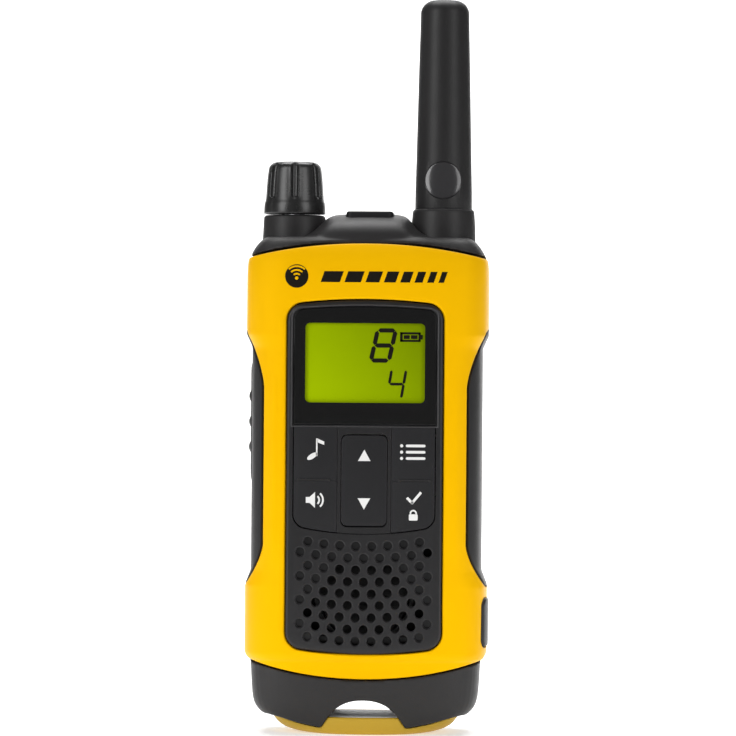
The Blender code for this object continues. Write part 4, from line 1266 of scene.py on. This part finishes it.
def make_door(black):
    outline = rounded((-DOOR_HALF, DOOR_HALF), (DOOR_LOW, DOOR_HIGH), 2.8, 10)
    dense = []
    for a, b in zip(outline, outline[1:] + outline[:1]):
        pieces = max(1, int(math.dist(a, b) / 1.2))
        for i in range(pieces):
            dense.append((a[0] + (b[0] - a[0]) * i / pieces, a[1] + (b[1] - a[1]) * i / pieces))
    door = new_object("battery_door_skin", draped(dense, on_back, 0.0, DOOR_THICK, 0.35, rings_in=16))
    tall = (LATCH_LOW - GAP, LATCH_HIGH + LATCH_TRAVEL + GAP)
    slot = rounded((-LATCH_HALF - GAP, LATCH_HALF + GAP), tall, 0.8)
    carve(door, prism(slot, 5.0, 30.0))
    show(door, black, "battery_door", "battery_door", 40)
    ribs = []
    for i in range(5):
        z = 24.0 + i * 1.7
        wide = 9.0 - 0.7 * i
        ribs.append(draped(rounded((-wide, wide), (z - 0.35, z + 0.35), 0.34, 5), on_back, 0.0, 0.5, 0.0))
    for i, (points, faces) in enumerate(ribs):
        ribs[i] = ([(x, y + 0.28 if y > 15.7 else y, z) for x, y, z in points], faces)
    show(new_object("battery_door_ribs", join(*ribs)), black, "battery_door", "battery_door")
    tab = rounded((-LATCH_HALF, LATCH_HALF), (LATCH_LOW, LATCH_HIGH), 0.8)
    latch = new_object("door_latch_tab", slab(tab, 13.9, 15.9, round_high=0.25))
    for z in (14.2, 15.3, 16.4):
        merge(latch, slab(rounded((-4.2, 4.2), (z - 0.3, z + 0.3), 0.25), 15.6, 16.3, round_high=0.15))
    show(latch, black, "door_latch", "door_latch")


def make_clip(black):
    leg = ((CLIP_INNER + 0.6, CLIP_TOP), (CLIP_INNER, CLIP_TOP - 2.0), (CLIP_INNER, CLIP_FOOT + 4.6),
           (CLIP_INNER - 1.9, CLIP_FOOT + 3.0), (CLIP_INNER - 2.4, CLIP_FOOT + 1.2),
           (CLIP_INNER - 1.8, CLIP_FOOT), (CLIP_OUTER - 1.6, CLIP_FOOT + 0.2),
           (CLIP_OUTER, CLIP_FOOT + 2.8), (CLIP_OUTER, CLIP_TOP - 1.6), (CLIP_OUTER - 0.8, CLIP_TOP))
    clip_piece = new_object("belt_clip_leg", prism(leg, -CLIP_HALF, CLIP_HALF, "X"))
    face = rounded((-CLIP_HALF, CLIP_HALF), (CLIP_FOOT, CLIP_TOP), 3.4, 10)
    keep(clip_piece, prism(face, 10.0, 30.0))
    merge(clip_piece, turned(((2.2, -CLIP_HALF), (2.2, CLIP_HALF)), CLIP_PIN, "X", 40))
    z = CLIP_PIN[1]
    for low in (80.0, 82.2, 84.4, 86.6):
        carve(clip_piece, slab(rounded((-4.6, 4.6), (low, low + 0.9), 0.44), 22.75, 24.0))
    carve(clip_piece, turned(((1.3, -20), (1.3, 20)), CLIP_PIN, "X", 32))
    carve(clip_piece, box((-2.7, 2.7), (10, 30), (z - 2.8, z + 2.8)))
    melt(clip_piece, 0.24, 4)
    show(clip_piece, black, "belt_clip", "belt_clip", 60)
    bracket = new_object("clip_bracket_plate", slab(rounded((-9.9, 9.9), (97.5, 111.0), 1.5), 16.5, 17.9,
                                                    round_high=0.3))
    for side in (-1, 1):
        ear = [(17.5, 101.5), (21.4, 102.6), (22.6, 104.0), (22.6, 106.0), (21.4, 107.4), (17.5, 108.5)]
        low, high = sorted((side * (CLIP_HALF + 0.4), side * 9.9))
        merge(bracket, prism(ear, low, high, "X"))
    carve(bracket, turned(((1.3, -20), (1.3, 20)), CLIP_PIN, "X", 32))
    melt(bracket, 0.22, 3)
    show(bracket, black, ROOT, "clip_bracket", 60)


# Materials


def finish(name, colour, rough, metal=0.0, vary=0.05, grain=0.06, grain_size=0.35, edge_lift=0.12, coat=0.0,
           gloss=0.5, bevel=0.0, glow=0.0, shine=(1, 1, 1)):
    """A moulded or metal surface: uneven colour and roughness, fine grain and colour made lighter on sharp
    convex edges.
    """
    material = bpy.data.materials.new(name)
    material.use_nodes = True
    nodes = material.node_tree.nodes
    link = material.node_tree.links.new
    shader = nodes["Principled BSDF"]
    for socket, value in (("Metallic", metal), ("Specular IOR Level", gloss), ("Specular Tint", (*shine, 1)),
                          ("Coat Weight", coat), ("Coat Roughness", 0.08)):
        shader.inputs[socket].default_value = value
    where = nodes.new("ShaderNodeTexCoord").outputs["Object"]
    cloud = noise(material, where, 70.0, 3.0)
    tint = mix(nodes, [c * (1 - vary) for c in colour], [min(c * (1 + vary), 1.0) for c in colour])
    link(cloud, tint.inputs[0])
    last = tint.outputs[2]
    # Colour made lighter on sharp convex edges, found from pointiness.
    if edge_lift:
        edges = nodes.new("ShaderNodeMapRange")
        edges.inputs["From Min"].default_value = 0.53
        edges.inputs["From Max"].default_value = 0.62
        edges.inputs["To Max"].default_value = edge_lift
        link(nodes.new("ShaderNodeNewGeometry").outputs["Pointiness"], edges.inputs["Value"])
        lifted_edges = mix(nodes, colour, [min(c * 1.5 + 0.05, 1.0) for c in colour])
        link(edges.outputs["Result"], lifted_edges.inputs[0])
        link(last, lifted_edges.inputs[6])
        last = lifted_edges.outputs[2]
    link(last, shader.inputs["Base Color"])
    if glow:
        link(last, shader.inputs["Emission Color"])
        shader.inputs["Emission Strength"].default_value = glow
    polish = nodes.new("ShaderNodeMapRange")
    polish.inputs["To Min"].default_value = max(rough - 0.05, 0.02)
    polish.inputs["To Max"].default_value = rough + 0.05
    link(noise(material, where, 400.0, 4.0), polish.inputs["Value"])
    link(polish.outputs["Result"], shader.inputs["Roughness"])
    bump = nodes.new("ShaderNodeBump")
    bump.inputs["Strength"].default_value = grain
    bump.inputs["Distance"].default_value = 0.0002
    link(noise(material, where, 1000.0 / grain_size, 2.0), bump.inputs["Height"])
    if bevel:
        soft = nodes.new("ShaderNodeBevel")
        soft.samples = 6
        soft.inputs["Radius"].default_value = bevel * MM
        link(soft.outputs["Normal"], bump.inputs["Normal"])
    link(bump.outputs["Normal"], shader.inputs["Normal"])
    return material


def mix(nodes, low, high):
    """A node that goes from one colour to another."""
    node = nodes.new("ShaderNodeMix")
    node.data_type = "RGBA"
    node.inputs[6].default_value = (*low, 1)
    node.inputs[7].default_value = (*high, 1)
    return node


def noise(material, where, scale, detail):
    texture = material.node_tree.nodes.new("ShaderNodeTexNoise")
    texture.inputs["Scale"].default_value = scale
    texture.inputs["Detail"].default_value = detail
    material.node_tree.links.new(where, texture.inputs["Vector"])
    return texture.outputs["Fac"]


def lcd_finish():
    """The lit display: brighter and yellower at the lower left, darker at the upper right."""
    material = finish("lcd_green_lit", (0.235, 0.325, 0.001), 0.3, edge_lift=0.0, grain=0.0, gloss=0.05, glow=0.08)
    nodes = material.node_tree.nodes
    link = material.node_tree.links.new
    parts = nodes.new("ShaderNodeSeparateXYZ")
    link(nodes.new("ShaderNodeTexCoord").outputs["Object"], parts.inputs[0])
    total = nodes.new("ShaderNodeMath")
    total.operation = "MULTIPLY_ADD"
    total.inputs[1].default_value = 0.7
    link(parts.outputs["Z"], total.inputs[0])
    link(parts.outputs["X"], total.inputs[2])
    spread = nodes.new("ShaderNodeMapRange")
    spread.inputs["From Min"].default_value = (-14.5 + 0.7 * 79.9) * MM
    spread.inputs["From Max"].default_value = (14.5 + 0.7 * 99.4) * MM
    link(total.outputs[0], spread.inputs["Value"])
    tone = mix(nodes, (0.335, 0.47, 0.0), (0.15, 0.215, 0.0))
    link(spread.outputs["Result"], tone.inputs[0])
    shader = nodes["Principled BSDF"]
    link(tone.outputs[2], shader.inputs["Base Color"])
    link(tone.outputs[2], shader.inputs["Emission Color"])
    return material


def make_materials():
    return {
        "yellow": finish("yellow_plastic", (0.93, 0.50, 0.0015), 0.4, vary=0.02, grain=0.05, edge_lift=0.0,
                         gloss=0.25, bevel=0.25, shine=(1.0, 0.6, 0.0)),
        "foot": finish("yellow_foot", (0.52, 0.33, 0.025), 0.5, vary=0.05, grain=0.08, edge_lift=0.0, gloss=0.3),
        "bar": finish("bar_grey", (0.9, 0.89, 0.86), 0.45, vary=0.08, grain=0.1, gloss=0.4),
        "black": finish("black_plastic", (0.022, 0.021, 0.0215), 0.46, grain=0.16, grain_size=0.22, edge_lift=0.04,
                        gloss=0.3, bevel=0.2),
        "knob": finish("knob_plastic", (0.016, 0.016, 0.016), 0.28, grain=0.08, grain_size=0.2, edge_lift=0.2,
                       bevel=0.12),
        # This near-black, dull finish is painted shade: it darkens the hidden middle and the microphone seen
        # through the grille holes and gaps.
        "core": finish("hollow_shade_black", (0.004, 0.004, 0.004), 0.8, grain=0.1, edge_lift=0.0, gloss=0.1),
        "gloss": finish("plate_plastic", (0.0155, 0.015, 0.016), 0.38, grain=0.08, grain_size=0.2, edge_lift=0.03,
                        gloss=0.35, bevel=0.15),
        "rubber": finish("soft_rubber", (0.021, 0.0205, 0.021), 0.42, grain=0.2, grain_size=0.3, edge_lift=0.04,
                         gloss=0.25, bevel=0.2),
        "keys": finish("key_rubber_face", (0.0125, 0.0123, 0.0138), 0.55, grain=0.15, grain_size=0.18,
                       edge_lift=0.03, gloss=0.25, bevel=0.12),
        "glass": finish("window_black", (0.0085, 0.0085, 0.0085), 0.12, vary=0.1, grain=0.0, edge_lift=0.0,
                        gloss=0.4),
        "ink": finish("ink_black", (0.008, 0.007, 0.004), 0.6, edge_lift=0.0, gloss=0.1),
        "legend": finish("legend_white", (0.80, 0.80, 0.79), 0.5, vary=0.03, edge_lift=0.0, gloss=0.2),
        "polished": finish("polished_black", (0.035, 0.034, 0.036), 0.2, coat=0.4, edge_lift=0.1, bevel=0.15),
        "white": finish("backlight_white_film", (0.8, 0.8, 0.78), 0.5),
        "steel": finish("bright_steel", (0.55, 0.55, 0.57), 0.28, metal=1.0, grain=0.1),
        "brass": finish("plain_brass", (0.68, 0.48, 0.2), 0.3, metal=1.0, grain=0.1),
        "green": finish("board_lacquer", (0.015, 0.12, 0.05), 0.35, vary=0.2, grain=0.2, grain_size=0.8),
        "part": finish("part_black", (0.03, 0.03, 0.03), 0.5, vary=0.15, grain=0.2),
        "cone": finish("pressed_paper", (0.045, 0.045, 0.045), 0.9, vary=0.2, grain=0.5, grain_size=0.6),
        "foam": finish("grey_foam", (0.18, 0.18, 0.18), 0.95, vary=0.2, grain=0.8, grain_size=0.5),
        "wrap": finish("cell_sleeve", (0.22, 0.23, 0.25), 0.32, metal=0.5, vary=0.08, grain=0.05),
        "lcd": lcd_finish(),
    }


SLOT_FINISH = {
    "shell_yellow": "yellow", "housing_black": "black", "plate_black": "gloss", "grip_rubber": "rubber",
    "key_rubber": "keys", "window_glass": "glass", "lcd_green": "lcd", "backlight_white": "white",
    "steel": "steel", "brass": "brass", "board_green": "green", "component_black": "part",
    "cone_black": "cone", "foam_grey": "foam", "cell_wrap": "wrap",
}


def finish_nodes(looks):
    """Gives each carried-over CAD node the detailed finish of its slot."""
    for item in NODES.values():
        slot = item.data.materials[0].name.split(".")[0]
        item.data.materials[0] = looks[SLOT_FINISH[slot]]
    # The microphone takes the near-black finish: painted shade for the inside of its hole.
    NODES["microphone"].data.materials[0] = looks["core"]


# Stage


def lamp(name, spot, aim, size, power):
    data = bpy.data.lights.new(name, "AREA")
    data.shape = "RECTANGLE"
    data.size, data.size_y = size
    data.energy = power
    item = bpy.data.objects.new(name, data)
    item.location = spot
    item.rotation_euler = (Vector(aim) - Vector(spot)).to_track_quat("-Z", "Y").to_euler()
    bpy.context.scene.collection.objects.link(item)


def make_stage():
    """A pale floor that curves up behind the radio, and soft lamps."""
    profile = [(-0.22, 0.0), (1.0, 0.0)]
    for i in range(1, 13):
        turn = math.pi / 2 * i / 12
        profile.append((1.0 + 0.6 * math.sin(turn), 0.6 * (1 - math.cos(turn))))
    profile.append((1.6, 1.6))
    mesh = bpy.data.meshes.new("floor")
    points = [(x, y, z) for y, z in profile for x in (-0.9, 0.9)]
    faces = [(2 * i, 2 * i + 1, 2 * i + 3, 2 * i + 2) for i in range(len(profile) - 1)]
    mesh.from_pydata(points, [], faces)
    mesh.shade_smooth()
    floor = bpy.data.objects.new("floor", mesh)
    bpy.context.scene.collection.objects.link(floor)
    floor.data.materials.append(finish("pale_floor", (0.93, 0.93, 0.93), 0.8, vary=0.005, grain=0.0, edge_lift=0.0,
                                       glow=0.45))
    world = bpy.data.worlds.new("room")
    bpy.context.scene.world = world
    world.use_nodes = True
    backdrop = world.node_tree.nodes["Background"]
    backdrop.inputs["Color"].default_value = (1, 1, 1, 1)
    backdrop.inputs["Strength"].default_value = 0.1
    middle = (0, 0, 0.09)
    lamp("left", (-0.84, -0.84, 0.42), middle, (0.5, 0.9), 7.5)
    lamp("right", (0.84, -0.84, 0.42), middle, (0.5, 0.9), 4.8)
    lamp("overhead", (0, 0.35, 1.2), (0, 0.35, 0), (1.0, 1.0), 11.0)
    lamp("wash", (0, 0.6, 1.5), (0, 1.5, 0.4), (1.5, 0.5), 20.0)


CAMERA_DISTANCE = 1.0
CAMERA_YAW = 2.7
CAMERA_ROLL = 0.45
FRAME_HEIGHT = 177.0


def make_camera():
    data = bpy.data.cameras.new("camera")
    camera = bpy.data.objects.new("camera", data)
    bpy.context.scene.collection.objects.link(camera)
    turn = math.radians(CAMERA_YAW)
    aim = Vector((0.00035, -0.008, 0.0879))
    camera.location = aim + CAMERA_DISTANCE * Vector((math.sin(turn), -math.cos(turn), 0.0))
    look = (aim - camera.location).to_track_quat("-Z", "Y")
    camera.rotation_euler = (look @ Quaternion((0, 0, 1), math.radians(CAMERA_ROLL))).to_euler()
    data.sensor_width = 36.0
    data.lens = 36.0 * CAMERA_DISTANCE / (FRAME_HEIGHT * MM)
    data.clip_start = 0.05
    data.clip_end = 20.0
    bpy.context.scene.camera = camera
    bpy.context.scene.view_settings.view_transform = "Standard"


def main():
    looks = make_materials()
    finish_nodes(looks)
    make_shell(looks["yellow"])
    make_grips(looks["rubber"])
    make_base(looks["black"])
    # The hidden middle gets the near-black finish: painted shade seen through the grille holes and gaps.
    make_core(looks["core"])
    make_top(looks["black"])
    make_rear(looks["black"])
    make_rim(looks["foot"], looks["bar"])
    make_plate(looks["gloss"], looks["polished"])
    make_display(looks["glass"], looks["lcd"], looks["ink"], looks["white"])
    make_keys(looks["keys"], looks["legend"], looks["rubber"])
    make_badge(looks["ink"], looks["yellow"])
    make_knob(looks["knob"])
    make_alert_button(looks["keys"])
    make_antenna(looks["rubber"], looks["polished"])
    make_ptt(looks["rubber"])
    make_side_key(looks["rubber"])
    make_port_cover(looks["rubber"])
    make_door(looks["black"])
    make_clip(looks["black"])
    make_stage()
    make_camera()


main()
